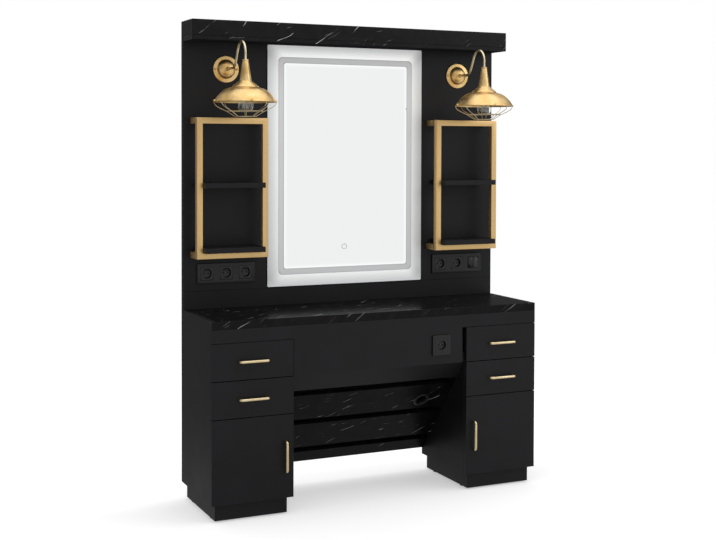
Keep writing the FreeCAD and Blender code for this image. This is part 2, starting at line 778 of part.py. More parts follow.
def drawer_tray(centre_x, front_bottom, runner_z):
    """A folded steel tray with a tongue on each side that slides in the runner channels."""
    opening = inside_outer - inside_inner
    half = opening / 2 - runner_width - tray_side_gap
    back = rear_board_thickness + tray_back_room
    low = front_bottom + tray_lift
    tray = slab(centre_x - half, centre_x + half, back, front_back, low, low + tray_height, 0)
    inside = slab(centre_x - half + tray_wall, centre_x + half - tray_wall, back + tray_wall,
                  front_back - tray_wall, low + tray_wall, low + tray_height + 1, 0)
    tray = tray.cut(inside)
    tongue_half = opening / 2 - runner_width + runner_slot_depth - tongue_bottom_room
    thick = runner_slot_height - 2 * runner_running_gap
    for side in (-1, 1):
        x0 = centre_x + side * (half - tongue_root)
        x1 = centre_x + side * tongue_half
        tray = tray.fuse(slab(min(x0, x1), max(x0, x1), back, front_back - tongue_front_room,
                              runner_z - thick / 2, runner_z + thick / 2, 0))
    return tray


def build_drawers():
    """Left and right pedestals each hold an upper and a lower drawer."""
    channels = []
    middle = (inside_outer + inside_inner) / 2
    lines = (("upper", drawer_line_1, rail_bottom), ("lower", drawer_line_2, drawer_line_1))
    for level, low, high in lines:
        z0 = low + front_gap / 2
        z1 = high - front_gap / 2
        runner_z = z0 + tray_lift + tray_height / 2
        front = slab(pedestal_inner, half_width, front_back, cabinet_depth, z0, z1)
        grip = handle((pedestal_inner + half_width) / 2, (z0 + z1) / 2, False)
        tray = drawer_tray(middle, z0, runner_z)
        for side in ("left", "right"):
            flip = mirrored if side == "left" else (lambda shape: shape)
            name = side + "_" + level + "_drawer_"
            save(name + "front", flip(front))
            save(name + "handle", flip(grip))
            save(name + "tray", flip(tray))
            channels += [flip(runner_channel(inside_outer, -1, runner_z)),
                         flip(runner_channel(inside_inner, 1, runner_z))]
    save("drawer_runners", *channels)


def build_doors():
    low = carcass_bottom + front_gap / 2
    high = drawer_line_2 - front_gap / 2
    door = slab(pedestal_inner, half_width, front_back, cabinet_depth, low, high)
    cup_x = half_width - hinge_cup_inset
    cups = []
    arms = []
    for z in (low + hinge_from_door_end, high - hinge_from_door_end):
        door = door.cut(rod_along_y(cup_x, z, hinge_cup_radius + fit_gap,
                                    front_back - 1, front_back + hinge_cup_depth + fit_gap))
        cups.append(rod_along_y(cup_x, z, hinge_cup_radius, front_back, front_back + hinge_cup_depth))
        plate = slab(inside_outer - hinge_plate_thickness, inside_outer,
                     carcass_front - hinge_plate_depth, carcass_front,
                     z - hinge_plate_height / 2, z + hinge_plate_height / 2, 0)
        arm = slab(cup_x - hinge_arm_height / 2, inside_outer - hinge_arm_root,
                   carcass_front - hinge_arm_depth, front_back - hinge_tip_gap,
                   z - hinge_arm_height / 2, z + hinge_arm_height / 2, 0)
        arms.append(plate.fuse(arm))
    grip = handle(pedestal_inner + door_handle_inset, (low + high) / 2, True)
    save("right_door", door)
    save("left_door", mirrored(door))
    save("right_door_handle", grip)
    save("left_door_handle", mirrored(grip))
    save("right_door_hinge_cups", *cups)
    save("left_door_hinge_cups", *[mirrored(cup) for cup in cups])
    save("hinge_arms", *([mirrored(arm) for arm in arms] + arms))


build_rear_board()
build_carcass()
build_plinths()
build_apron()
build_raked_panel()
build_back_panel()
build_header()
build_mirror()
build_shelf_frames()
build_sockets()
build_lamps()
build_drawers()
build_doors()
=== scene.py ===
import bpy
import math
from mathutils import Matrix, Vector


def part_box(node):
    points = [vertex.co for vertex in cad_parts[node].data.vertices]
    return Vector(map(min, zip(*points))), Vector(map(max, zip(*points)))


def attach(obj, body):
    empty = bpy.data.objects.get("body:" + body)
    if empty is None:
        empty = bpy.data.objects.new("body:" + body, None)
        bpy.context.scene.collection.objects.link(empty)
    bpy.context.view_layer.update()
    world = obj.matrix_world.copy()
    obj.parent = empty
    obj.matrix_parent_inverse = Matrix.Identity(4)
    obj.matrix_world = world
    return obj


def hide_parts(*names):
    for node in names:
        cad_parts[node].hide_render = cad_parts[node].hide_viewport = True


# A salon dressing station: black melamine boards, black marble laminate, a lit mirror, brass
# lamps, gold shelf frames and mains sockets. Metres, the user stands at -Y.

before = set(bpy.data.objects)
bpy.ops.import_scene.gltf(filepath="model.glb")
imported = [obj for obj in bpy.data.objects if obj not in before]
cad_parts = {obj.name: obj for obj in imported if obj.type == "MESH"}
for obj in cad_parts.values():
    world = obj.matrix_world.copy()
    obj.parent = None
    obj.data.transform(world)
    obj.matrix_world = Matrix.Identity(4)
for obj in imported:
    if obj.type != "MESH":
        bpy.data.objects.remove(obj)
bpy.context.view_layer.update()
MM = 0.001

# places shared with the cabinet's own drawing, in metres
BACK = 0.219
COLUMN = 0.5625
LAMP_Y = -0.0565
ARM_Z = 1.822
SOCKET_Z = 0.954
GANG = 0.086
APRON_SOCKET = Vector((0.276, -0.191, 0.6455))
PANEL_FACE = BACK - 0.028
GLASS_FACE = PANEL_FACE - 0.005
CABINET_FACE = -0.191
GLASS_Z = 1.4085
BAND_X, BAND_Z, BAND_HALF = 0.3115, 0.461, 0.0135
RAKE_UP = Vector((0.0, -0.6376, 0.7703))
RAKE_OUT = Vector((0.0, -0.7703, -0.6376))


# --- modelling by hand: primitives, edit mode, applied modifiers ---
def only(obj):
    """Makes one object the only selected and active one."""
    bpy.ops.object.select_all(action="DESELECT")
    obj.select_set(True)
    bpy.context.view_layer.objects.active = obj


def settle(obj):
    """Puts the object at the origin, with its place, turn and size in its mesh."""
    only(obj)
    bpy.ops.object.transform_apply(location=True, rotation=True, scale=True)
    return obj


def editing(obj):
    """Goes into edit mode, with points to be picked."""
    only(obj)
    bpy.ops.object.mode_set(mode="EDIT")
    bpy.ops.mesh.select_mode(type="VERT")


def done(obj):
    """Leaves edit mode."""
    bpy.ops.object.mode_set(mode="OBJECT")
    return obj


def pick(obj, kind, test):
    """In edit mode, selects the faces or the edges of a mesh that pass a test."""
    bpy.ops.mesh.select_mode(type=kind)
    bpy.ops.mesh.select_all(action="DESELECT")
    bpy.ops.object.mode_set(mode="OBJECT")
    mesh = obj.data
    for part in mesh.polygons if kind == "FACE" else mesh.edges:
        part.select = bool(test(mesh, part))
    bpy.ops.object.mode_set(mode="EDIT")


def runs_along(axis):
    """A test for edges that run along one axis."""
    def test(mesh, edge):
        a, b = (mesh.vertices[i].co for i in edge.vertices)
        return abs((b - a).normalized()[axis]) > 0.99
    return test


def modify(obj, kind, **settings):
    """Adds a modifier and applies it."""
    only(obj)
    made = obj.modifiers.new(kind.title(), kind)
    for name, value in settings.items():
        setattr(made, name, value)
    bpy.ops.object.modifier_apply(modifier=made.name)
    return obj


def eased(obj, width, segments, angle):
    """Rounds every edge that is sharper than an angle."""
    return modify(obj, "BEVEL", width=width, segments=segments, limit_method="ANGLE",
                  angle_limit=math.radians(angle))


def smooth(obj, angle=35):
    """Shades smooth, except over edges that are sharper than an angle."""
    only(obj)
    bpy.ops.object.shade_smooth_by_angle(angle=math.radians(angle))
    return obj


def block(name, low, high):
    """A box between two corners, ready to be shaped."""
    low, high = Vector(low), Vector(high)
    bpy.ops.object.select_all(action="DESELECT")
    bpy.ops.mesh.primitive_cube_add(size=1, location=(low + high) / 2, scale=high - low)
    obj = bpy.context.active_object
    obj.name = name
    return settle(obj)


def block_at(name, centre, low, high):
    """A box between two corners that are given from a centre."""
    return block(name, centre + Vector(low), centre + Vector(high))


def chain(name, points):
    """A line of edges from point to point, left open in edit mode."""
    bpy.ops.object.select_all(action="DESELECT")
    bpy.ops.mesh.primitive_plane_add(size=MM, location=points[0])
    obj = bpy.context.active_object
    obj.name = name
    settle(obj)
    editing(obj)
    bpy.ops.mesh.select_all(action="SELECT")
    bpy.ops.mesh.merge(type="CENTER")
    for start, end in zip(points, points[1:]):
        bpy.ops.mesh.extrude_region_move(TRANSFORM_OT_translate={"value": end - start})
    return obj


def turned(name, outline, centre, axis, steps=64):
    """A shape spun about an axis. The outline is radii and heights along the axis, in mm."""
    axis = axis.normalized()
    across = axis.orthogonal().normalized()
    obj = chain(name, [centre + across * (r * MM) + axis * (h * MM) for r, h in outline])
    bpy.ops.mesh.select_all(action="SELECT")
    bpy.ops.mesh.spin(steps=steps, angle=2 * math.pi, center=centre, axis=axis)
    bpy.ops.mesh.select_all(action="SELECT")
    bpy.ops.mesh.remove_doubles(threshold=2e-6)
    bpy.ops.mesh.select_all(action="SELECT")
    bpy.ops.mesh.normals_make_consistent(inside=False)
    return done(obj)


def bent(points, radius, steps):
    """The points of a rod's middle line, with an arc at each inner corner."""
    line = [points[0]]
    for before, corner, after in zip(points, points[1:], points[2:]):
        a, b = (before - corner).normalized(), (after - corner).normalized()
        half = a.angle(b) / 2
        middle = corner + (a + b).normalized() * (radius / math.sin(half))
        start = corner + a * (radius / math.tan(half)) - middle
        end = corner + b * (radius / math.tan(half)) - middle
        turn = start.rotation_difference(end)
        for i in range(steps + 1):
            spin = turn.copy()
            spin.angle = turn.angle * i / steps
            line.append(middle + spin @ start)
    return line + [points[-1]]


def rod(name, line, radius, fineness):
    """A round rod along a line, with closed ends."""
    obj = done(chain(name, line))
    only(obj)
    bpy.ops.object.convert(target="CURVE")
    obj = bpy.context.active_object
    obj.data.bevel_depth = radius
    obj.data.bevel_resolution = fineness
    obj.data.use_fill_caps = True
    bpy.ops.object.convert(target="MESH")
    obj = bpy.context.active_object
    editing(obj)
    bpy.ops.mesh.select_all(action="SELECT")
    bpy.ops.mesh.remove_doubles(threshold=2e-6)
    bpy.ops.mesh.normals_make_consistent(inside=False)
    return smooth(done(obj))


def copied(obj, name, move=(0, 0, 0), turn=None, about=(0, 0, 0)):
    """A copy with its own mesh, moved, or turned about a point."""
    only(obj)
    bpy.ops.object.duplicate()
    twin = bpy.context.active_object
    twin.name = name
    place = Matrix.Translation(Vector(move))
    if turn:
        angle, axis = turn
        about = Matrix.Translation(Vector(about))
        place = place @ about @ Matrix.Rotation(angle, 4, axis) @ about.inverted()
    twin.data.transform(place)
    return twin


def joined(name, pieces):
    """Several shapes of one material made one piece."""
    bpy.ops.object.select_all(action="DESELECT")
    for piece in pieces:
        piece.select_set(True)
    bpy.context.view_layer.objects.active = pieces[0]
    bpy.ops.object.join()
    obj = bpy.context.active_object
    obj.name = name
    return obj


def cut(obj, tools, operation="DIFFERENCE"):
    """Takes the tools' shapes out of a piece."""
    for tool in tools:
        modify(obj, "BOOLEAN", operation=operation, solver="EXACT", object=tool)
        bpy.data.objects.remove(tool)


def merged(obj, tool):
    """Makes another shape part of a piece, in one closed mesh."""
    cut(obj, [tool], "UNION")


def fitted(obj, body, finish, slot, *nodes):
    """The finished piece gets its material and body, and stands for its CAD nodes."""
    obj.data.materials.clear()
    obj.data.materials.append(finish)
    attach(obj, body)
    if nodes:
        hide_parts(*nodes)


# --- materials ---
WHITE = (1, 1, 1, 1)
# where the values of a noise mostly lie, as the first two limits of a Map Range
SPREAD, NARROW_SPREAD = {1: 0.3, 2: 0.7}, {1: 0.35, 2: 0.65}


def linear(code):
    """An sRGB hex colour as linear light."""
    parts = [int(code[i:i + 2], 16) / 255 for i in (1, 3, 5)]
    parts = [p / 12.92 if p <= 0.04045 else ((p + 0.055) / 1.055) ** 2.4 for p in parts]
    return (*parts, 1.0)


def add(tree, kind, sockets=None, give=0, **settings):
    """Adds one shader node and gives one of its outputs. Sockets, by name or number, are set or
    linked to another node's output. A Map Range's are value, from, from, to, to."""
    made = tree.nodes.new("ShaderNode" + kind)
    for name, value in settings.items():
        setattr(made, name, value)
    for socket, value in (sockets or {}).items():
        if isinstance(value, bpy.types.NodeSocket):
            tree.links.new(value, made.inputs[socket])
        else:
            made.inputs[socket].default_value = value
    return made.outputs[give] if made.outputs else made


def blank(name):
    """A new material with an empty node tree, and the piece's own coordinates."""
    made = bpy.data.materials.new(name)
    made.use_nodes = True
    made.node_tree.nodes.clear()
    return made, made.node_tree, add(made.node_tree, "TexCoord", give="Object")


def coated(made, sockets):
    """Gives a material its surface; what is the same all over is a plain value here."""
    surface = add(made.node_tree, "BsdfPrincipled", sockets)
    add(made.node_tree, "OutputMaterial", {"Surface": surface})
    return made


def melamine(name, dark, pale):
    """Melamine-faced board, pressed against a matt plate: satin black with a faint pebble.
    The pebble is drawn at 2.5 mm, coarser than the real 0.5 mm, so that it shows."""
    made, tree, place = blank(name)
    cloud = add(tree, "TexNoise", {"Vector": place, "Scale": 1 / (160 * MM), "Detail": 3.0,
                                   "Roughness": 0.6})
    pebble = add(tree, "TexNoise", {"Vector": place, "Scale": 1 / (2.5 * MM), "Detail": 3.0,
                                    "Roughness": 0.6})
    tone = add(tree, "MapRange", {0: cloud, **NARROW_SPREAD})
    colour = add(tree, "Mix", {0: tone, 6: linear(dark), 7: linear(pale)}, 2, data_type="RGBA")
    broad = add(tree, "MapRange", {0: cloud, **SPREAD, 3: 0.38, 4: 0.46})
    fine = add(tree, "MapRange", {0: pebble, **SPREAD, 3: 0.0, 4: 0.08})
    gloss = add(tree, "Math", {0: broad, 1: fine}, operation="ADD")
    relief = add(tree, "Bump", {"Height": pebble, "Distance": 0.05 * MM, "Strength": 0.5})
    return coated(made, {"Base Color": colour, "Roughness": gloss, "Normal": relief,
                         "Specular IOR Level": 0.2})


VEIN_BEND, VEIN_DRIFT = 0.03, 0.16    # metres that the veins waver and wander
FINE_SHARE = 0.45    # how white a fine vein is beside a strong one
SLIP = 0.9    # metres that the pattern slips per metre of depth, so that no edge is streaked


def marble(name, along, across, rough, shine, faces=None):
    """High-pressure laminate printed as black marble: near-black stone with thin white veins
    that slant one way, break off and start again. Veins are drawn up to 2.5 mm wide, a little
    wider than the print's 2 mm, so that they show. Where faces is given, only the sides that
    look that way carry the print, and the sawn edges are black edging. What faces down is the
    dull dark grey sheet that balances the board."""
    made, tree, place = blank(name)
    u = add(tree, "VectorMath", {0: place, 1: tuple(along)}, "Value", operation="DOT_PRODUCT")
    v = add(tree, "VectorMath", {0: place, 1: tuple(across)}, "Value", operation="DOT_PRODUCT")
    flat = add(tree, "CombineXYZ", {0: u, 1: v})
    bend = add(tree, "TexNoise", {"Vector": flat, "Scale": 1 / (110 * MM), "Detail": 2.0,
                                  "Roughness": 0.5}, "Color")
    bend = add(tree, "VectorMath", {0: bend, 1: (0.5, 0.5, 0.5)}, operation="SUBTRACT")
    bend = add(tree, "VectorMath", {0: bend, 1: (VEIN_BEND, VEIN_BEND, 0.0)}, operation="MULTIPLY")
    warped = add(tree, "VectorMath", {0: flat, 1: bend}, operation="ADD")

    def veins(long_mm, wide_mm, line_mm, shift, clump_mm, low, high):
        """One family of veins: drifting lines a set way apart, kept only inside some clumps."""
        moved = add(tree, "Mapping", {"Vector": flat, "Location": (shift, -shift, shift)})
        drift = add(tree, "TexNoise", {"Vector": moved, "Scale": 1 / (220 * MM), "Detail": 1.0})
        height = add(tree, "SeparateXYZ", {0: warped}, "Y")
        height = add(tree, "Math", {0: drift, 1: VEIN_DRIFT, 2: height}, operation="MULTIPLY_ADD")
        apart = add(tree, "Math", {0: height, 1: wide_mm / 2 * MM}, operation="PINGPONG")
        grid = add(tree, "Mapping", {"Vector": warped, "Location": (shift, shift * 0.7, 0),
                                     "Scale": (1 / (long_mm * MM), 1 / (wide_mm * MM), 1.0)})
        swell = add(tree, "TexNoise", {"Vector": grid, "Scale": 2.5, "Detail": 2.0})
        width = add(tree, "MapRange", {0: swell, 1: 0.38, 2: 0.68, 3: 0.1 * line_mm * MM,
                                       4: 1.2 * line_mm * MM})
        share = add(tree, "Math", {0: apart, 1: width}, operation="DIVIDE")
        line = add(tree, "Math", {0: 1.0, 1: share}, operation="SUBTRACT", use_clamp=True)
        clump = add(tree, "TexNoise", {"Vector": moved, "Scale": 1 / (clump_mm * MM),
                                       "Detail": 1.0})
        clump = add(tree, "MapRange", {0: clump, 1: low, 2: high})
        return add(tree, "Math", {0: line, 1: clump}, operation="MULTIPLY")

    strong = veins(300, 58, line_mm=2.1, shift=3.1, clump_mm=80, low=0.58, high=0.65)
    fine = veins(140, 27, line_mm=1.1, shift=7.7, clump_mm=60, low=0.61, high=0.7)
    fine = add(tree, "Math", {0: fine, 1: FINE_SHARE}, operation="MULTIPLY")
    total = add(tree, "Math", {0: strong, 1: fine}, operation="MAXIMUM")
    normal = add(tree, "NewGeometry", give="Normal")
    if faces:
        facing = add(tree, "VectorMath", {0: normal, 1: tuple(faces)}, "Value",
                     operation="DOT_PRODUCT")
        facing = add(tree, "Math", {0: facing, 1: 0.9}, operation="GREATER_THAN")
        total = add(tree, "Math", {0: total, 1: facing}, operation="MULTIPLY")
    cloud = add(tree, "TexNoise", {"Vector": warped, "Scale": 1 / (55 * MM), "Detail": 5.0,
                                   "Roughness": 0.65})
    cloud = add(tree, "MapRange", {0: cloud, 1: 0.42, 2: 0.72})
    stone = add(tree, "Mix", {0: cloud, 6: linear("#09090b"), 7: linear("#151518")}, 2,
                data_type="RGBA")
    colour = add(tree, "Mix", {0: total, 6: stone, 7: linear("#dcdad6")}, 2, data_type="RGBA")
    upright = add(tree, "SeparateXYZ", {0: normal}, "Z")
    under = add(tree, "MapRange", {0: upright, 1: -0.85, 2: -0.95})
    colour = add(tree, "Mix", {0: under, 6: colour, 7: linear("#242427")}, 2, data_type="RGBA")
    sheen = add(tree, "MapRange", {0: under, 3: shine, 4: 0.0})
    return coated(made, {"Base Color": colour, "Roughness": rough, "Specular IOR Level": sheen})


def spun_brass(name, dark, pale, rough_low, rough_high, axis=(0, 0, 1), line_mm=0.9):
    """Brass-plated steel, spun or drawn and satin lacquered: warm gold with fine lines across an
    axis, a soft broad highlight and slightly duller patches. The lines are drawn at 1 to 1.5 mm,
    so that they show."""
    made, tree, place = blank(name)
    height = add(tree, "VectorMath", {0: place, 1: tuple(axis)}, "Value", operation="DOT_PRODUCT")
    rings = add(tree, "TexNoise", {"W": height, "Scale": 1 / (line_mm * MM), "Detail": 2.0},
                noise_dimensions="1D")
    cloud = add(tree, "TexNoise", {"Vector": place, "Scale": 1 / (38 * MM), "Detail": 2.0,
                                   "Roughness": 0.5})
    tone = add(tree, "Mix", {0: 0.3, 2: cloud, 3: rings})
    share = add(tree, "MapRange", {0: tone, **NARROW_SPREAD})
    colour = add(tree, "Mix", {0: share, 6: linear(dark), 7: linear(pale)}, 2, data_type="RGBA")
    gloss = add(tree, "MapRange", {0: tone, **SPREAD, 3: rough_low, 4: rough_high})
    relief = add(tree, "Bump", {"Height": rings, "Distance": 0.03 * MM, "Strength": 0.2})
    return coated(made, {"Base Color": colour, "Roughness": gloss, "Normal": relief,
                         "Metallic": 1.0})


def gold_paint():
    """Steel tube with a champagne-gold metallic powder coat: fine flake, soft even sheen and a
    very slight orange peel. The flake is drawn at 1.6 mm, coarser than the real 0.1 mm."""
    made, tree, place = blank("gold_powder_coat")
    flake = add(tree, "TexNoise", {"Vector": place, "Scale": 1 / (1.6 * MM), "Detail": 1.0})
    peel = add(tree, "TexNoise", {"Vector": place, "Scale": 1 / (7 * MM), "Detail": 2.0})
    share = add(tree, "MapRange", {0: flake, **SPREAD})
    colour = add(tree, "Mix", {0: share, 6: linear("#cdaa71"), 7: linear("#e3c188")}, 2,
                 data_type="RGBA")
    gloss = add(tree, "MapRange", {0: flake, **SPREAD, 3: 0.36, 4: 0.48})
    relief = add(tree, "Bump", {"Height": peel, "Distance": 0.06 * MM, "Strength": 0.4})
    return coated(made, {"Base Color": colour, "Roughness": gloss, "Normal": relief,
                         "Metallic": 0.82})


def moulded(name, dark, pale, rough, grain_mm=1.2):
    """Plastic moulded in a spark-eroded tool: even satin with a fine stipple. The stipple is
    drawn at about 1 mm, coarser than the real 0.2 mm."""
    made, tree, place = blank(name)
    grain = add(tree, "TexNoise", {"Vector": place, "Scale": 1 / (grain_mm * MM), "Detail": 2.0})
    cloud = add(tree, "TexNoise", {"Vector": place, "Scale": 1 / (30 * MM), "Detail": 2.0})
    colour = add(tree, "Mix", {0: cloud, 6: linear(dark), 7: linear(pale)}, 2, data_type="RGBA")
    gloss = add(tree, "MapRange", {0: grain, **SPREAD, 3: rough - 0.06, 4: rough + 0.06})
    relief = add(tree, "Bump", {"Height": grain, "Distance": 0.03 * MM, "Strength": 0.4})
    return coated(made, {"Base Color": colour, "Roughness": gloss, "Normal": relief,
                         "Specular IOR Level": 0.35})


BAND_CORNER = 0.015
PAINTED_MARGIN_GLOW, PAINTED_MIRROR_GLOW = 0.050, 0.0205    # metres that the painted glow spreads from the band, out and in
MITRE_BLUR = 0.03
PAINTED_GLOW_BELOW, PAINTED_GLOW_ABOVE, BAND_LIGHT = 0.18, 0.27, 0.22    # emission strengths: painted glow over the margins below and above, and the band's own light


def band_distance(tree, place):
    """How far a point of the glass is outside the middle line of the light band, in metres:
    negative inside it. The line is a rectangle with round corners."""
    x = add(tree, "SeparateXYZ", {0: place}, "X")
    z = add(tree, "SeparateXYZ", {0: place}, "Z")
    x = add(tree, "Math", {0: x}, operation="ABSOLUTE")
    x = add(tree, "Math", {0: x, 1: BAND_X - BAND_CORNER}, operation="SUBTRACT")
    z = add(tree, "Math", {0: z, 1: GLASS_Z}, operation="SUBTRACT")
    z = add(tree, "Math", {0: z}, operation="ABSOLUTE")
    z = add(tree, "Math", {0: z, 1: BAND_Z - BAND_CORNER}, operation="SUBTRACT")
    over_x = add(tree, "Math", {0: x, 1: 0.0}, operation="MAXIMUM")
    over_z = add(tree, "Math", {0: z, 1: 0.0}, operation="MAXIMUM")
    beyond = add(tree, "CombineXYZ", {0: over_x, 1: over_z})
    length = add(tree, "VectorMath", {0: beyond}, "Value", operation="LENGTH")
    within = add(tree, "Math", {0: x, 1: z}, operation="MAXIMUM")
    within = add(tree, "Math", {0: within, 1: 0.0}, operation="MINIMUM")
    total = add(tree, "Math", {0: length, 1: within}, operation="ADD")
    return add(tree, "Math", {0: total, 1: BAND_CORNER}, operation="SUBTRACT")


def silvered_glass():
    """Silvered float glass: a bright mirror with a faint green at its ground edges. Its margin
    outside the light band is satin-etched. The band's light in it is painted: an emission that
    fades from the band out over the margin and a little way in over the mirror. There is more
    painted light above and below than at the sides, where the margins meet in a soft mitre, and
    more above than below. The silver is painted darker out across the margin."""
    made, tree, place = blank("silvered_glass")
    # painted light: an emission that fades out from the band's borders, standing in for the band's
    # light spreading in the glass
    away = band_distance(tree, place)
    outside = add(tree, "MapRange", {0: away, 1: BAND_HALF, 2: BAND_HALF + PAINTED_MARGIN_GLOW})
    inside = add(tree, "MapRange", {0: away, 1: -BAND_HALF, 2: -BAND_HALF - PAINTED_MIRROR_GLOW})
    outer = add(tree, "Math", {0: 1.0, 1: outside}, operation="SUBTRACT")
    outer = add(tree, "Math", {0: outer, 1: 1.5}, operation="POWER")
    inner = add(tree, "Math", {0: 1.0, 1: inside}, operation="SUBTRACT")
    inner = add(tree, "Math", {0: inner, 1: 2.0}, operation="POWER")
    glow = add(tree, "Math", {0: outer, 1: inner}, operation="MINIMUM")
    haze = add(tree, "TexNoise", {"Vector": place, "Scale": 1 / (240 * MM), "Detail": 2.0})
    level = add(tree, "MapRange", {0: haze, **SPREAD, 3: 0.12, 4: 0.15})
    glow = add(tree, "Math", {0: glow, 1: level}, operation="MULTIPLY")
    ground = add(tree, "Math", {0: away, 1: 0.0}, operation="GREATER_THAN")
    offset = add(tree, "VectorMath", {0: place, 1: (0.0, 0.0, GLASS_Z)}, operation="SUBTRACT")
    height = add(tree, "SeparateXYZ", {0: offset}, "Z")
    offset = add(tree, "VectorMath", {0: offset}, operation="ABSOLUTE")
    wide = add(tree, "SeparateXYZ", {0: offset}, "X")
    high = add(tree, "SeparateXYZ", {0: offset}, "Z")
    mitre = add(tree, "Math", {0: high, 1: wide}, operation="SUBTRACT")
    # painted light added over the top and bottom margins, stronger above than below
    ends = add(tree, "MapRange", {0: mitre, 1: BAND_Z - BAND_X - MITRE_BLUR,
                                  2: BAND_Z - BAND_X + MITRE_BLUR})
    ends = add(tree, "Math", {0: ends, 1: ground}, operation="MULTIPLY")
    painted_glow_by_height = add(tree, "MapRange", {0: height, 1: -0.1, 2: 0.1, 3: PAINTED_GLOW_BELOW, 4: PAINTED_GLOW_ABOVE})
    glow = add(tree, "Math", {0: ends, 1: painted_glow_by_height, 2: glow}, operation="MULTIPLY_ADD")
    # painted shade: the silver darkens out across the margin as the painted glow fades
    silver = add(tree, "Mix", {0: outside, 6: linear("#f2f4f3"), 7: linear("#dfe1e2")}, 2,
                 data_type="RGBA")
    normal = add(tree, "NewGeometry", give="Normal")
    side = add(tree, "SeparateXYZ", {0: normal}, "Y")
    side = add(tree, "Math", {0: side}, operation="ABSOLUTE")
    rim = add(tree, "MapRange", {0: side, 1: 0.9, 2: 0.5})
    colour = add(tree, "Mix", {0: rim, 6: silver, 7: linear("#5f7c70")}, 2, data_type="RGBA")
    clear = add(tree, "MapRange", {0: haze, **SPREAD, 3: 0.004, 4: 0.012})
    gloss = add(tree, "Mix", {0: ground, 2: clear, 3: 0.6})
    return coated(made, {"Base Color": colour, "Roughness": gloss, "Metallic": 1.0,
                         "Emission Color": WHITE, "Emission Strength": glow})


def etched_band():
    """Glass sandblasted from behind over the light tape: even grey-white, a little darker along
    both borders, with a soft grain."""
    made, tree, place = blank("etched_glass")
    away = add(tree, "Math", {0: band_distance(tree, place)}, operation="ABSOLUTE")
    border = add(tree, "MapRange", {0: away, 1: 0.008, 2: BAND_HALF})
    grain = add(tree, "TexNoise", {"Vector": place, "Scale": 1 / (3 * MM), "Detail": 3.0})
    grain = add(tree, "MapRange", {0: grain, **SPREAD})
    even = add(tree, "Mix", {0: grain, 6: linear("#b4b5b7"), 7: linear("#bcbdbf")}, 2,
               data_type="RGBA")
    colour = add(tree, "Mix", {0: border, 6: even, 7: linear("#8f9093")}, 2, data_type="RGBA")
    return coated(made, {"Base Color": colour, "Roughness": 0.55, "Specular IOR Level": 0.5,
                         "Emission Color": WHITE, "Emission Strength": BAND_LIGHT})


def clear_glass():
    """Blown soda-lime glass: clear, with slow waves in its wall."""
    made, tree, place = blank("blown_glass")
    waves = add(tree, "TexNoise", {"Vector": place, "Scale": 1 / (14 * MM), "Detail": 2.0})
    colour = add(tree, "Mix", {0: waves, 6: linear("#f4f8f7"), 7: linear("#ffffff")}, 2,
                 data_type="RGBA")
    relief = add(tree, "Bump", {"Height": waves, "Distance": 0.12 * MM, "Strength": 0.5})
    return coated(made, {"Base Color": colour, "Normal": relief, "Roughness": 0.0, "IOR": 1.5,
                         "Transmission Weight": 1.0})


def plated_steel(name, dark, pale, rough):
    """Pressed steel with an electroplated skin: cool metal with a faint 6 mm spangle."""
    made, tree, place = blank(name)
    spangle = add(tree, "TexVoronoi", {"Vector": place, "Scale": 1 / (6 * MM)})
    colour = add(tree, "Mix", {0: spangle, 6: linear(dark), 7: linear(pale)}, 2, data_type="RGBA")
    gloss = add(tree, "MapRange", {0: spangle, 1: 0.0, 2: 1.0, 3: rough, 4: rough + 0.15})
    return coated(made, {"Base Color": colour, "Roughness": gloss, "Metallic": 1.0})


def graphite():
    """Folded steel sheet, powder coated graphite grey: fine dry texture, drawn at 1.8 mm."""
    made, tree, place = blank("graphite_powder_coat")
    grain = add(tree, "TexNoise", {"Vector": place, "Scale": 1 / (1.8 * MM), "Detail": 3.0})
    cloud = add(tree, "TexNoise", {"Vector": place, "Scale": 1 / (70 * MM), "Detail": 2.0})
    colour = add(tree, "Mix", {0: cloud, 6: linear("#3a3b3d"), 7: linear("#47484b")}, 2,
                 data_type="RGBA")
    gloss = add(tree, "MapRange", {0: grain, **SPREAD, 3: 0.45, 4: 0.6})
    relief = add(tree, "Bump", {"Height": grain, "Distance": 0.05 * MM, "Strength": 0.5})
    return coated(made, {"Base Color": colour, "Roughness": gloss, "Normal": relief,
                         "Metallic": 0.15})


def light_tape():
    """Light tape: a white solder-masked strip with a yellow phosphor dot every 32 mm."""
    made, tree, place = blank("light_tape")
    x = add(tree, "SeparateXYZ", {0: place}, "X")
    z = add(tree, "SeparateXYZ", {0: place}, "Z")
    length = add(tree, "Math", {0: x, 1: z}, operation="ADD")
    step = add(tree, "Math", {0: length, 1: 16 * MM}, operation="PINGPONG")
    dot = add(tree, "MapRange", {0: step, 1: 2 * MM, 2: 3 * MM, 3: 1.0, 4: 0.0})
    colour = add(tree, "Mix", {0: dot, 6: linear("#ececea"), 7: linear("#f2d66a")}, 2,
                 data_type="RGBA")
    return coated(made, {"Base Color": colour, "Roughness": 0.5})


def slanted(degrees, level, rise):
    """The two directions of a slanted pattern, in the plane of a level and a rising direction."""
    a = math.radians(degrees)
    level, rise = Vector(level), Vector(rise)
    return level * math.cos(a) + rise * math.sin(a), rise * math.cos(a) - level * math.sin(a)


BOARD = melamine("black_melamine", "#141416", "#19191c")
FRONT_ALONG, FRONT_ACROSS = slanted(34, (1, 0, 0), (0, 0, 1))
MARBLE_FRONT = marble("marble_laminate_front", FRONT_ALONG, FRONT_ACROSS + Vector((0, SLIP, 0)),
                      0.3, 0.15)
TOP_ALONG, TOP_ACROSS = slanted(41, (1, 0, 0), (0, 1, 0))
MARBLE_TOP = marble("marble_laminate_top", TOP_ALONG, TOP_ACROSS + Vector((0, 0, SLIP)), 0.2, 0.1)
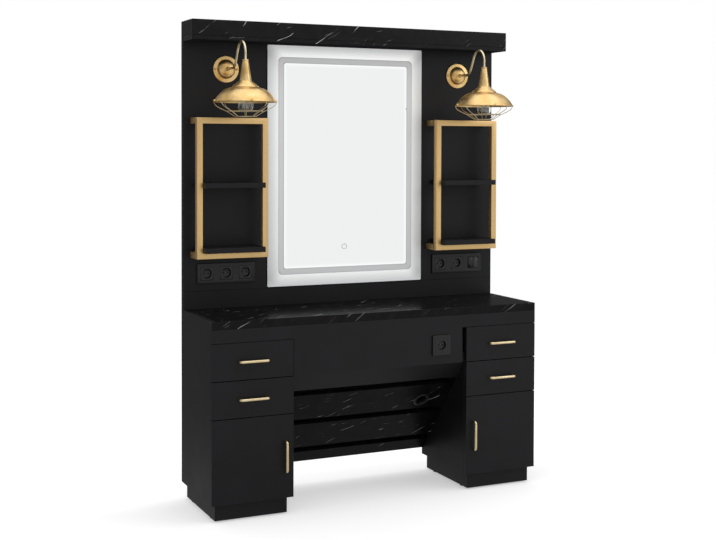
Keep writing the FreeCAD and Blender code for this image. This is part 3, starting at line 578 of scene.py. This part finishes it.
# The slats are the fascia's laminate with less shine: painted shade for the knee space under the
# worktop.
SLAT_ALONG, SLAT_ACROSS = slanted(29, (1, 0, 0), RAKE_UP)
SHADED_MARBLE_SLATS = marble("marble_laminate_slats_painted_shade", SLAT_ALONG, SLAT_ACROSS, 0.3, 0.06, RAKE_OUT)
BRASS = spun_brass("spun_brass", "#d3ab68", "#ecce96", 0.32, 0.44)
PALE_BRASS = spun_brass("drawn_brass_rod", "#d8c7a0", "#efe3c6", 0.24, 0.34, (0.3, 1, 0.5), 1.5)
HANDLE_GOLD = spun_brass("plated_handle_gold", "#dcc699", "#ecdab2", 0.20, 0.30, (1, 0, 0.6), 1.5)
GOLD_TUBE = gold_paint()
BLACK_ABS = moulded("black_abs", "#121213", "#171719", 0.36)
SOCKET_FACE = moulded("socket_black_abs", "#151517", "#1b1b1d", 0.3, 0.9)
ROCKER_ABS = moulded("rocker_grey_abs", "#303033", "#3a3a3d", 0.36, 0.9)
BAKELITE = moulded("lampholder_phenolic", "#1d1a18", "#262320", 0.4)
SILVER = silvered_glass()
BAND = etched_band()
GLASS = clear_glass()
ZINC = plated_steel("zinc_plate", "#a9abad", "#c9cbcc", 0.26)
# The socket contacts' steel is painted dark: painted shade inside the socket wells.
SHADED_CONTACT_STEEL = plated_steel("spring_steel_painted_shade", "#4a4b4e", "#626367", 0.4)
GRAPHITE = graphite()
TAPE = light_tape()
TOUCH = moulded("touch_mark_frit", "#c4c6c8", "#cdcfd1", 0.5)

# --- CAD nodes whose shapes are right take their finish here ---
finishes = {
    BOARD: ["rear_board", "side_panel_left", "side_panel_right", "inner_sides", "pedestal_decks",
            "plinths", "apron", "kick_top_board", "kick_bearers", "splash_strip", "upper_panel",
            "header_top", "header_ends", "shelves_left", "shelves_right", "left_door", "right_door",
            "left_upper_drawer_front", "left_lower_drawer_front",
            "right_upper_drawer_front", "right_lower_drawer_front"],
    MARBLE_FRONT: ["header_fascia", "header_soffit"],
    MARBLE_TOP: ["worktop"],
    SHADED_MARBLE_SLATS: ["kick_slat_upper", "kick_slat_middle", "kick_slat_lower"],
    SILVER: ["mirror_glass"],
    BAND: ["light_band"],
    TAPE: ["led_tape"],
    GRAPHITE: ["mirror_tray", "left_upper_drawer_tray", "left_lower_drawer_tray",
               "right_upper_drawer_tray", "right_lower_drawer_tray"],
    ZINC: ["drawer_runners", "hinge_arms", "left_door_hinge_cups", "right_door_hinge_cups"],
}
for finish, names in finishes.items():
    for name in names:
        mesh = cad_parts[name].data
        mesh.materials.clear()
        mesh.materials.append(finish)

# --- lamps: places in metres, outlines in mm, turns in degrees ---
OUT = Vector((0, -1, 0))
UP = Vector((0, 0, 1))
NUT_REACH = 0.0485
ARM_REACH, ARM_BEND, ARM_RADIUS = 0.116, 0.048, 5.2 * MM
ARM_SLOPE = math.radians(62.4)
ARM_FOOT_Z = 1.80
SHADE_STEPS, SHADE_SHEET = 120, 1.4 * MM
FIRST_SCREW, SCREW_REACH, SCREW_Z, SCREW_TILT = -97.8, 0.1242, 1.6790, 0.3
BULB_WALL = 1.2 * MM
STRANDS, STRAND_SPREAD, STRAND_RADIUS = 8, 14, 0.45 * MM
GUARD_WIRES, GUARD_WIRE_MM = 8, 1.5
GUARD_RINGS = ((72.4, 1638.6), (38.6, 1616.8))


def round_section(radius, height, size, steps):
    """The closed outline of a ring with a round section, in mm."""
    angles = [math.radians(360 / steps * i) for i in range(steps + 1)]
    return [(radius + size * math.cos(a), height + size * math.sin(a)) for a in angles]


def build_lamp(side, x):
    """A wall lamp: stepped rosette, bent arm, spun shade, bulb and a guard of bent wire."""
    wall = Vector((x, PANEL_FACE, ARM_Z))
    rosette = turned("rosette", [
        (0, 0.1), (57.5, 0.1), (57.5, 2.6), (56.4, 4.4), (54, 5), (43, 5), (41, 5.6), (39.5, 7),
        (38.8, 9), (38.2, 12), (36.4, 15.6), (33, 19), (28, 22), (21.5, 24.6), (15, 26.2), (11, 27),
        (0, 27)], wall, OUT)
    eased(rosette, 0.4 * MM, 2, 25)
    collar = turned("arm_collar", [
        (5.2, 26), (8.8, 26), (9.2, 27.4), (9.2, 31), (8.2, 32.4), (7.2, 33), (7.2, 36),
        (6.4, 37.2), (5.2, 37.2)], wall, OUT, 48)
    outline = [(0, 4.6), (4.6, 4.6), (4.6, 7), (4.0, 8.6), (2.4, 9.8), (0, 10.2)]
    nuts = [turned("rosette_nut", outline,
                   wall + Vector((math.cos(a), 0, math.sin(a))) * NUT_REACH, OUT, 20)
            for a in (0.0, math.pi)]
    rosette = smooth(joined("rosette_" + side, [rosette, collar] + nuts))
    fitted(rosette, "station", BRASS, "lamp_brass", "lamp_rosettes")

    turn = Vector((x, PANEL_FACE - ARM_REACH, ARM_Z))
    rise = (turn.y - LAMP_Y) * math.tan(ARM_SLOPE)
    line = bent([wall, turn, Vector((x, LAMP_Y, ARM_Z + rise)), Vector((x, LAMP_Y, ARM_FOOT_Z))],
                ARM_BEND, 16)
    arm = rod("arm_" + side, line, ARM_RADIUS, 4)
    fitted(arm, "station", PALE_BRASS, "lamp_brass", "lamp_arms")

    axis = Vector((x, LAMP_Y, 0))
    shade = turned("shade_" + side, [
        (6.0, 1849), (12.5, 1849), (13.3, 1848.2), (13.3, 1842), (12.8, 1841.2), (13.5, 1839.6),
        (17.5, 1812), (21.9, 1782), (24.1, 1767), (25.6, 1762), (30, 1758.2), (37, 1752.8),
        (45, 1746.4), (51.6, 1741.2), (53.6, 1739.4), (54.2, 1738.2), (54.2, 1736.6),
        (55.4, 1735.8), (66, 1732.5), (75, 1729.8), (82, 1726.9), (89, 1722.6), (96, 1717.2),
        (103, 1711), (109.4, 1704.4), (115.6, 1696.6), (121.2, 1688.4), (126, 1680.8),
        (128.4, 1676.8), (129.2, 1675.2)], axis, UP, SHADE_STEPS)
    modify(shade, "SOLIDIFY", thickness=SHADE_SHEET, offset=-1.0)
    bead = turned("shade_bead", round_section(128.9, 1676.8, 1.9, 10), axis, UP, SHADE_STEPS)
    outline = [(0, -4), (2.0, -4), (2.0, 1.0), (4.3, 1.4), (4.9, 2.4), (4.9, 6.4), (4.2, 7.4),
               (0, 7.4)]
    screws = []
    for i in range(4):
        a = math.radians(FIRST_SCREW + 90 * i)
        way = Vector((math.cos(a), math.sin(a), 0.0))
        screws.append(turned("guard_screw", outline, axis + way * SCREW_REACH + UP * SCREW_Z,
                             way + UP * SCREW_TILT, 18))
    shade = smooth(joined("shade_" + side, [shade, bead] + screws), 30)
    fitted(shade, "station", BRASS, "lamp_brass", "lamp_shades")

    holder = turned("lampholder_" + side, [
        (0, 1774.6), (16.5, 1774.6), (18, 1773), (18, 1754), (16.8, 1753), (16.8, 1751), (18, 1750),
        (18, 1746), (16.8, 1745), (16.8, 1743), (18, 1742), (18, 1719), (17.2, 1715.4),
        (15.0, 1713.0), (0, 1712.4)], axis, UP, 48)
    fitted(smooth(holder), "station", BAKELITE, "lamp_holder", "lamp_holders")

    bulb = turned("bulb_" + side, [
        (0, 1711.8), (12.6, 1711.8), (13, 1710.5), (13.0, 1706), (13.6, 1702.4), (16.0, 1699),
        (20.5, 1695.6), (25.6, 1692), (29.4, 1687.4), (31.4, 1682), (32, 1675), (32, 1657),
        (31.0, 1650.4), (28.4, 1645), (24, 1641.4), (18, 1639.6), (9, 1639.1), (0, 1639)],
        axis, UP)
    modify(bulb, "SOLIDIFY", thickness=BULB_WALL, offset=-1.0)
    fitted(smooth(bulb, 60), "station", GLASS, "clear_glass", "lamp_bulbs")
    outline = [(0, 1710), (5.5, 1710), (4.6, 1701), (3.2, 1695), (2.4, 1687), (0, 1686)]
    wires = [turned("bulb_stem", outline, axis, UP, 20)]
    low, high, narrow, wide = 1650.5 * MM, 1690.5 * MM, 0.009, 0.0125
    for i in range(STRANDS):
        a, b = (math.radians(360 / STRANDS * i + s) for s in (-STRAND_SPREAD, STRAND_SPREAD))
        points = [axis + Vector((math.cos(angle) * reach, math.sin(angle) * reach, height))
                  for angle, reach, height in ((a, narrow, high), (a, wide, low),
                                               (b, wide, low), (b, narrow, high))]
        wires.append(rod("filament", points, STRAND_RADIUS, 1))
    filament = joined("filament_" + side, wires)
    fitted(smooth(filament), "station", ZINC, "runner_steel")

    line = [Vector((x + r * MM, LAMP_Y, h * MM)) for r, h in [
        (127.5, 1678), (127.3, 1674), (125.6, 1668.6), (122.2, 1663.2), (115.2, 1657.2),
        (104, 1650.8), (90, 1644), (75, 1637.2), (58, 1626.4), (41, 1615.6)]]
    first = rod("guard_wire", line, GUARD_WIRE_MM * MM, 2)
    turns = [math.radians(360 / GUARD_WIRES * (i + 0.5)) for i in range(GUARD_WIRES)]
    parts = [copied(first, "guard_wire", turn=(turn, UP), about=axis) for turn in turns]
    bpy.data.objects.remove(first)
    parts += [turned("guard_ring", round_section(radius, height, GUARD_WIRE_MM, 8), axis, UP, 72)
              for radius, height in GUARD_RINGS]
    guard = smooth(joined("guard_" + side, parts), 60)
    fitted(guard, "station", PALE_BRASS, "lamp_brass", "lamp_cages")


build_lamp("left", -COLUMN)
build_lamp("right", COLUMN)

# --- shelf frames ---
FRAME_HALF, FRAME_TUBE, FRAME_REACH = 0.1575, 0.025, 0.124
FRAME_LOW, FRAME_HIGH = 1.024, 1.614
WELD_OVERLAP = 0.002


def build_shelf_frame(side, x):
    """Square steel tube welded into a front ring on four short arms, with ground-flush joints."""
    half, tube = FRAME_HALF, FRAME_TUBE
    front = BACK - FRAME_REACH
    ring = block("shelf_frame_" + side, (x - half, front, FRAME_LOW),
                 (x + half, front + tube, FRAME_HIGH))
    editing(ring)
    pick(ring, "FACE", lambda mesh, face: abs(face.normal.y) > 0.9)
    bpy.ops.mesh.inset(thickness=tube)
    bpy.ops.mesh.bridge_edge_loops()
    done(ring)
    for cx in (x - half + tube / 2, x + half - tube / 2):
        for cz in (FRAME_LOW + tube / 2, FRAME_HIGH - tube / 2):
            arm = block("frame_arm", (cx - tube / 2, front + tube - WELD_OVERLAP, cz - tube / 2),
                        (cx + tube / 2, PANEL_FACE, cz + tube / 2))
            merged(ring, arm)
    editing(ring)
    bpy.ops.mesh.select_all(action="SELECT")
    bpy.ops.mesh.dissolve_limited(angle_limit=math.radians(1))
    done(ring)
    eased(ring, 1.6 * MM, 3, 60)
    fitted(smooth(ring), "station", GOLD_TUBE, "gold_tube", "shelf_frame_" + side)


build_shelf_frame("left", -COLUMN)
build_shelf_frame("right", COLUMN)

# --- sockets and switch ---
WINDOW_HALF = 0.0283
FACE_HALF, FACE_THICK = 0.028, 0.0078
BODY_HALF, BODY_DEEP = 0.025, 0.018
PIN_REACH = 0.0095
KEY_REACH, KEY_TILT, KEY_PIVOT_Y = 0.0135, 4, 0.1885
KEY_FLAT, KEY_RAISED = 0.0085, 0.004


def build_plate(name, centre, gangs):
    """A cover plate with round corners, an eased front and one square window per module."""
    wide, high = GANG * gangs / 2, GANG / 2
    plate = block_at(name, centre, (-wide, -0.008, -high), (wide, 0, high))
    editing(plate)
    pick(plate, "EDGE", runs_along(1))
    bpy.ops.mesh.bevel(offset=4 * MM, segments=5, affect="EDGES")
    done(plate)
    half = WINDOW_HALF
    cut(plate, [block_at("window", centre + Vector(((i - (gangs - 1) / 2) * GANG, 0, 0)),
                         (-half, -0.02, -half), (half, 0.02, half)) for i in range(gangs)])
    return smooth(eased(plate, 1.1 * MM, 3, 50))


def build_module(name, centre, tools):
    """The square face behind one window, with its hollows cut and its edges eased."""
    face = block_at(name, centre, (-FACE_HALF, -FACE_THICK, -FACE_HALF), (FACE_HALF, 0, FACE_HALF))
    body = block_at("module_body", centre, (-BODY_HALF, -0.001, -BODY_HALF),
                    (BODY_HALF, BODY_DEEP, BODY_HALF))
    merged(face, body)
    cut(face, tools)
    return smooth(eased(face, 0.5 * MM, 2, 50))


def build_socket(centre):
    """A round socket well with two pin holes, two sprung earth clips and a middle screw."""
    well = turned("well", [(0, -5), (18.6, -5), (19.5, 5.5), (20.6, 7.0), (20.6, 12), (0, 12)],
                  centre, OUT, 56)
    pins = [turned("pin_hole", [(0, -15), (2.5, -15), (2.5, -5.6), (3.2, -4.9), (3.2, -4), (0, -4)],
                   centre + Vector((way * PIN_REACH, 0, 0)), OUT, 20) for way in (-1, 1)]
    face = build_module("socket_face", centre, [well] + pins)
    clips = []
    for way in (-1, 1):
        line = bent([centre + Vector((0, y, way * z)) for y, z in
                     ((0.0045, 0.0180), (-0.0015, 0.0165), (-0.0062, 0.0186))], 0.003, 5)
        clip = rod("earth_clip", line, 1.1 * MM, 2)
        editing(clip)
        bpy.ops.mesh.select_all(action="SELECT")
        bpy.ops.transform.resize(value=(2.2, 1, 1), center_override=centre)
        clips.append(done(clip))
    screw = turned("middle_screw", [(0, -5.2), (3.0, -5.2), (3.0, -4.4), (2.2, -3.7), (0, -3.5)],
                   centre, OUT, 24)
    slot = block_at("screw_slot", centre, (-0.0035, 0.0030, -0.0004), (0.0035, 0.0042, 0.0004))
    cut(screw, [slot])
    return face, joined("contacts", clips + [smooth(screw)])


def build_sockets():
    """Three cover plates, six sockets, and a switch with two rockers of their own bodies."""
    def in_column(side, gang):
        return Vector((side * COLUMN + gang * GANG, PANEL_FACE, SOCKET_Z))

    plates = [build_plate("plate_left", in_column(-1, 0), 3),
              build_plate("plate_right", in_column(1, 0), 3),
              build_plate("plate_apron", APRON_SOCKET, 1)]
    plates = joined("socket_cover_plates", plates)
    fitted(plates, "station", BLACK_ABS, "black_plastic", "socket_plates")
    start = in_column(-1, -1)
    face, metal = build_socket(start)
    places = [in_column(-1, 0), in_column(-1, 1), in_column(1, -1), in_column(1, 0), APRON_SOCKET]
    faces = [face] + [copied(face, "socket_face", place - start) for place in places]
    metals = [metal] + [copied(metal, "contacts", place - start) for place in places]
    switch = in_column(1, 1)
    windows = [block_at("key_window", switch, (way * KEY_REACH - 0.0125, -0.02, -0.026),
                        (way * KEY_REACH + 0.0125, 0.002, 0.026)) for way in (-1, 1)]
    faces.append(build_module("switch_frame", switch, windows))
    modules = joined("socket_modules", faces)
    fitted(modules, "station", SOCKET_FACE, "black_plastic", "socket_inserts")
    fitted(joined("socket_contacts", metals), "station", SHADED_CONTACT_STEEL, "runner_steel")
    for name, way, body, finish in (("rocker_left", -1, "lamp_switch", SOCKET_FACE),
                                    ("rocker_right", 1, "mirror_switch", ROCKER_ABS)):
        middle = switch + Vector((way * KEY_REACH, 0, 0))
        key = block_at(name + "_key", middle, (-0.012, -0.006, -0.0255), (0.012, -0.0025, 0.0255))
        editing(key)
        for end in (-1, 1):
            bpy.ops.mesh.select_all(action="SELECT")
            bpy.ops.mesh.bisect(plane_co=middle + Vector((0, 0, end * KEY_FLAT)), plane_no=UP)
        pick(key, "FACE", lambda mesh, face: face.normal.y < -0.9
             and abs(face.center.z - middle.z) < KEY_FLAT)
        bpy.ops.transform.translate(value=(0, -KEY_RAISED, 0))
        done(key)
        eased(key, 0.8 * MM, 3, 12)
        pivot = Vector((middle.x, KEY_PIVOT_Y, SOCKET_Z))
        tilt = Matrix.Rotation(math.radians(-way * KEY_TILT), 4, "X")
        key.data.transform(Matrix.Translation(pivot) @ tilt @ Matrix.Translation(-pivot))
        fitted(smooth(key, 20), body, finish, "black_plastic", name)


build_sockets()


# --- handles ---
def build_handle(name, centre, along, body, node_name):
    """A bow handle bent from 12 mm rod; its two ends meet the front."""
    half, reach, bend, radius = 0.061, 0.022, 0.011, 6 * MM
    low, high = centre - along * half, centre + along * half
    line = bent([low, low + OUT * reach, high + OUT * reach, high], bend, 8)
    fitted(rod(name, line, radius, 5), body, HANDLE_GOLD, "handle_gold", node_name)


for node_name in [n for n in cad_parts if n.endswith("_handle")]:
    low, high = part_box(node_name)
    middle = (low + high) / 2
    upright = (high - low).z > (high - low).x
    body = node_name[:-len("_handle")]
    build_handle(node_name + "_bow", Vector((middle.x, CABINET_FACE, middle.z)),
                 UP if upright else Vector((1, 0, 0)),
                 body + "_leaf" if body.endswith("door") else body, node_name)

# --- small fittings ---
FOOT_X, FOOT_Y = (-0.715, -0.437, 0.437, 0.715), (-0.103, 0.142)
SLAT_WIDE, SLAT_NARROW, SLAT_GAP = 0.161, 0.069, 0.035
RAKE_FOOT = Vector((0.273, BACK - 0.010, 0.102))
GROMMET_BELOW_MIDDLE = 0.022
TOUCH_X, TOUCH_Z = -0.010, 1.050


def build_feet():
    """Eight turned glides under the plinths."""
    outline = [(0, 0), (11.8, 0), (13, 0.9), (13, 3.0), (11.6, 4.2), (9, 5.0), (0, 5.0)]
    feet = [turned("glide_foot", outline, Vector((x, y, 0)), UP, 32)
            for x in FOOT_X for y in FOOT_Y]
    feet = smooth(joined("glide_feet_turned", feet))
    fitted(feet, "station", BLACK_ABS, "black_plastic", "glide_feet")


def build_grommet():
    """A cable ring: a rounded flange on a sleeve, open through the raked slat."""
    along = SLAT_WIDE / 2 - GROMMET_BELOW_MIDDLE + SLAT_NARROW + 2 * SLAT_GAP + SLAT_WIDE
    ring = turned("cable_ring", [
        (25, -18), (31, -18), (31, 0), (36.2, 0), (37, 0.8), (37, 1.6), (35.6, 2.6), (33, 3.0),
        (27.4, 3.0), (25.8, 2.4), (25, 1.2), (25, -18)], RAKE_FOOT + RAKE_UP * along, RAKE_OUT)
    fitted(smooth(ring), "station", BLACK_ABS, "black_plastic", "cable_grommet")


def build_touch_mark():
    """A generic touch switch printed on the glass: an open ring with a short bar."""
    centre = Vector((TOUCH_X, GLASS_FACE, TOUCH_Z))
    outline = [(10.2, 0.02), (12.6, 0.02), (12.6, 0.2), (10.2, 0.2), (10.2, 0.02)]
    ring = turned("touch_ring", outline, centre, OUT)
    cut(ring, [block_at("touch_gap", centre, (-0.0038, -0.002, 0.004), (0.0038, 0.002, 0.02))])
    bar = block_at("touch_bar", centre, (-0.0011, -0.0002, 0.0045), (0.0011, -0.00002, 0.0140))
    mark = joined("touch_mark", [ring, eased(bar, 0.08 * MM, 2, 40)])
    fitted(mark, "station", TOUCH, "frosted_band")


build_feet()
build_grommet()
build_touch_mark()

# --- studio: a white floor, soft lamps and a pale surround ---
# what metal and the mirror see: white in front, grey at the back left, nearly dark at the right
MIRRORED_WHITE, BACK_LEFT_GREY, BACK_RIGHT_DARK, OVERHEAD_GREY = 0.97, 0.2, 0.03, 0.7
FLOOR_FRONT_WAY, WINDOW_WAY = (0.42, -0.91, 0.0), (0.2, -0.98, 0.0)
ROOM_LIGHT = 0.66
FLOOR_SIZE, FLOOR_DROP = 60, 0.5 * MM
PAINTED_LIFT_FRONT, PAINTED_LIFT_BACK = 0.42, 0.62    # how much painted light lifts the floor near the object towards white: more behind it than in front, so that its shadow shows in front
ALL_WHITE_FROM, ALL_WHITE_BY = 1.6, 4.5


def build_floor():
    """White paper under the object. The eye sees it with the object's shadow and with painted
    light, more behind the object than in front, brightened until it is pure white further out;
    metal and the mirror see it white in front and grey behind."""
    bpy.ops.object.select_all(action="DESELECT")
    bpy.ops.mesh.primitive_plane_add(size=FLOOR_SIZE, location=(0, 0, -FLOOR_DROP))
    floor = bpy.context.active_object
    floor.name = "studio_floor"
    made = bpy.data.materials.new("white_studio_floor")
    made.use_nodes = True
    tree = made.node_tree
    tree.nodes.clear()
    place = add(tree, "TexCoord", give="Object")
    paper = add(tree, "TexNoise", {"Vector": place, "Scale": 1 / (400 * MM), "Detail": 2.0})
    colour = add(tree, "Mix", {0: paper, 6: linear("#e6e6e6"), 7: linear("#e9e9e9")}, 2,
                 data_type="RGBA")
    matt = add(tree, "BsdfDiffuse", {0: colour})
    # painted light on the floor: a glow that grows towards the back, so that the shadow behind the
    # object is lighter
    depth = add(tree, "SeparateXYZ", {0: place}, "Y")
    painted_lift = add(tree, "MapRange", {0: depth, 1: 0.1, 2: 0.4, 3: PAINTED_LIFT_FRONT, 4: PAINTED_LIFT_BACK})
    glow = add(tree, "Emission", {0: WHITE, 1: painted_lift})
    near = add(tree, "AddShader", {0: matt, 1: glow})
    away = add(tree, "VectorMath", {0: place}, "Value", operation="LENGTH")
    far = add(tree, "MapRange", {0: away, 1: ALL_WHITE_FROM, 2: ALL_WHITE_BY})
    white = add(tree, "Emission", {0: WHITE, 1: 1.0})
    shown = add(tree, "MixShader", {0: far, 1: near, 2: white})
    ahead = add(tree, "VectorMath", {0: place, 1: FLOOR_FRONT_WAY}, "Value",
                operation="DOT_PRODUCT")
    level = add(tree, "MapRange", {0: ahead, 1: -2.0, 2: 3.0, 3: BACK_LEFT_GREY,
                                   4: MIRRORED_WHITE})
    reflected = add(tree, "Emission", {0: WHITE, 1: level})
    camera_ray = add(tree, "LightPath", give="Is Camera Ray")
    glossy_ray = add(tree, "LightPath", give="Is Glossy Ray")
    through_ray = add(tree, "LightPath", give="Is Transmission Ray")
    seen = add(tree, "Math", {0: camera_ray, 1: through_ray}, operation="MAXIMUM")
    surface = add(tree, "MixShader", {0: seen, 1: matt, 2: shown})
    surface = add(tree, "MixShader", {0: glossy_ray, 1: surface, 2: reflected})
    add(tree, "OutputMaterial", {"Surface": surface})
    floor.data.materials.append(made)


def build_surround():
    """White for the eye and through glass, the mirrored greys for metal and the mirror, and a
    plain grey room for the light on the object."""
    world = bpy.data.worlds.new("studio_surround")
    bpy.context.scene.world = world
    world.use_nodes = True
    tree = world.node_tree
    tree.nodes.clear()
    way = add(tree, "TexCoord", give="Generated")
    ahead = add(tree, "VectorMath", {0: way, 1: WINDOW_WAY}, "Value", operation="DOT_PRODUCT")
    across = add(tree, "SeparateXYZ", {0: way}, "X")
    back = add(tree, "MapRange", {0: across, 1: -0.2, 2: 0.3, 3: BACK_LEFT_GREY,
                                  4: BACK_RIGHT_DARK})
    low = add(tree, "MapRange", {0: ahead, 1: 0.7, 2: 0.945, 3: back, 4: MIRRORED_WHITE})
    up = add(tree, "SeparateXYZ", {0: way}, "Z")
    up = add(tree, "MapRange", {0: up, 1: 0.14, 2: 0.55})
    shown = add(tree, "Mix", {0: up, 2: low, 3: OVERHEAD_GREY})
    glossy_ray = add(tree, "LightPath", give="Is Glossy Ray")
    through_ray = add(tree, "LightPath", give="Is Transmission Ray")
    camera_ray = add(tree, "LightPath", give="Is Camera Ray")
    clear = add(tree, "Math", {0: camera_ray, 1: through_ray}, operation="MAXIMUM")
    light = add(tree, "Mix", {0: glossy_ray, 2: ROOM_LIGHT, 3: shown})
    light = add(tree, "Mix", {0: clear, 2: light, 3: 1.0})
    shade = add(tree, "Background", {0: WHITE, 1: light})
    add(tree, "OutputWorld", {"Surface": shade})


def build_softbox(name, place, target, size, watts):
    """An area lamp that points from one place to another."""
    data = bpy.data.lights.new(name, "AREA")
    data.shape = "RECTANGLE"
    data.size, data.size_y = size
    data.energy = watts
    obj = bpy.data.objects.new(name, data)
    bpy.context.scene.collection.objects.link(obj)
    obj.location = place
    obj.rotation_euler = (Vector(target) - Vector(place)).to_track_quat("-Z", "Y").to_euler()


build_floor()
build_surround()
build_softbox("key_softbox", (4.2, -3.0, 3.2), (0, 0, 1.0), size=(2.6, 2.2), watts=40)
build_softbox("overhead_softbox", (0.3, -0.6, 4.2), (0, 0, 0), size=(4.2, 4.2), watts=49)

# --- camera: eye height, from the front left, upright lines kept by a small downward shift ---
camera = bpy.data.cameras.new("view")
camera.sensor_width = 36.0
camera.lens = 61.667
camera.shift_y = -0.1323
viewer = bpy.data.objects.new("view", camera)
bpy.context.scene.collection.objects.link(viewer)
eye = Vector((-2.24586, -4.79232, 1.50798))
yaw, pitch, roll = 0.43316, 0.02595, 0.0029
ahead = Vector((math.sin(yaw) * math.cos(pitch), math.cos(yaw) * math.cos(pitch), -math.sin(pitch)))
level = Vector((math.cos(yaw), -math.sin(yaw), 0.0))
upward = level.cross(ahead)
right = level * math.cos(roll) + upward * math.sin(roll)
up = upward * math.cos(roll) - level * math.sin(roll)
facing = Matrix((right, up, -ahead)).transposed().to_4x4()
viewer.matrix_world = Matrix.Translation(eye) @ facing
bpy.context.scene.camera = viewer
bpy.context.scene.view_settings.view_transform = "Standard"
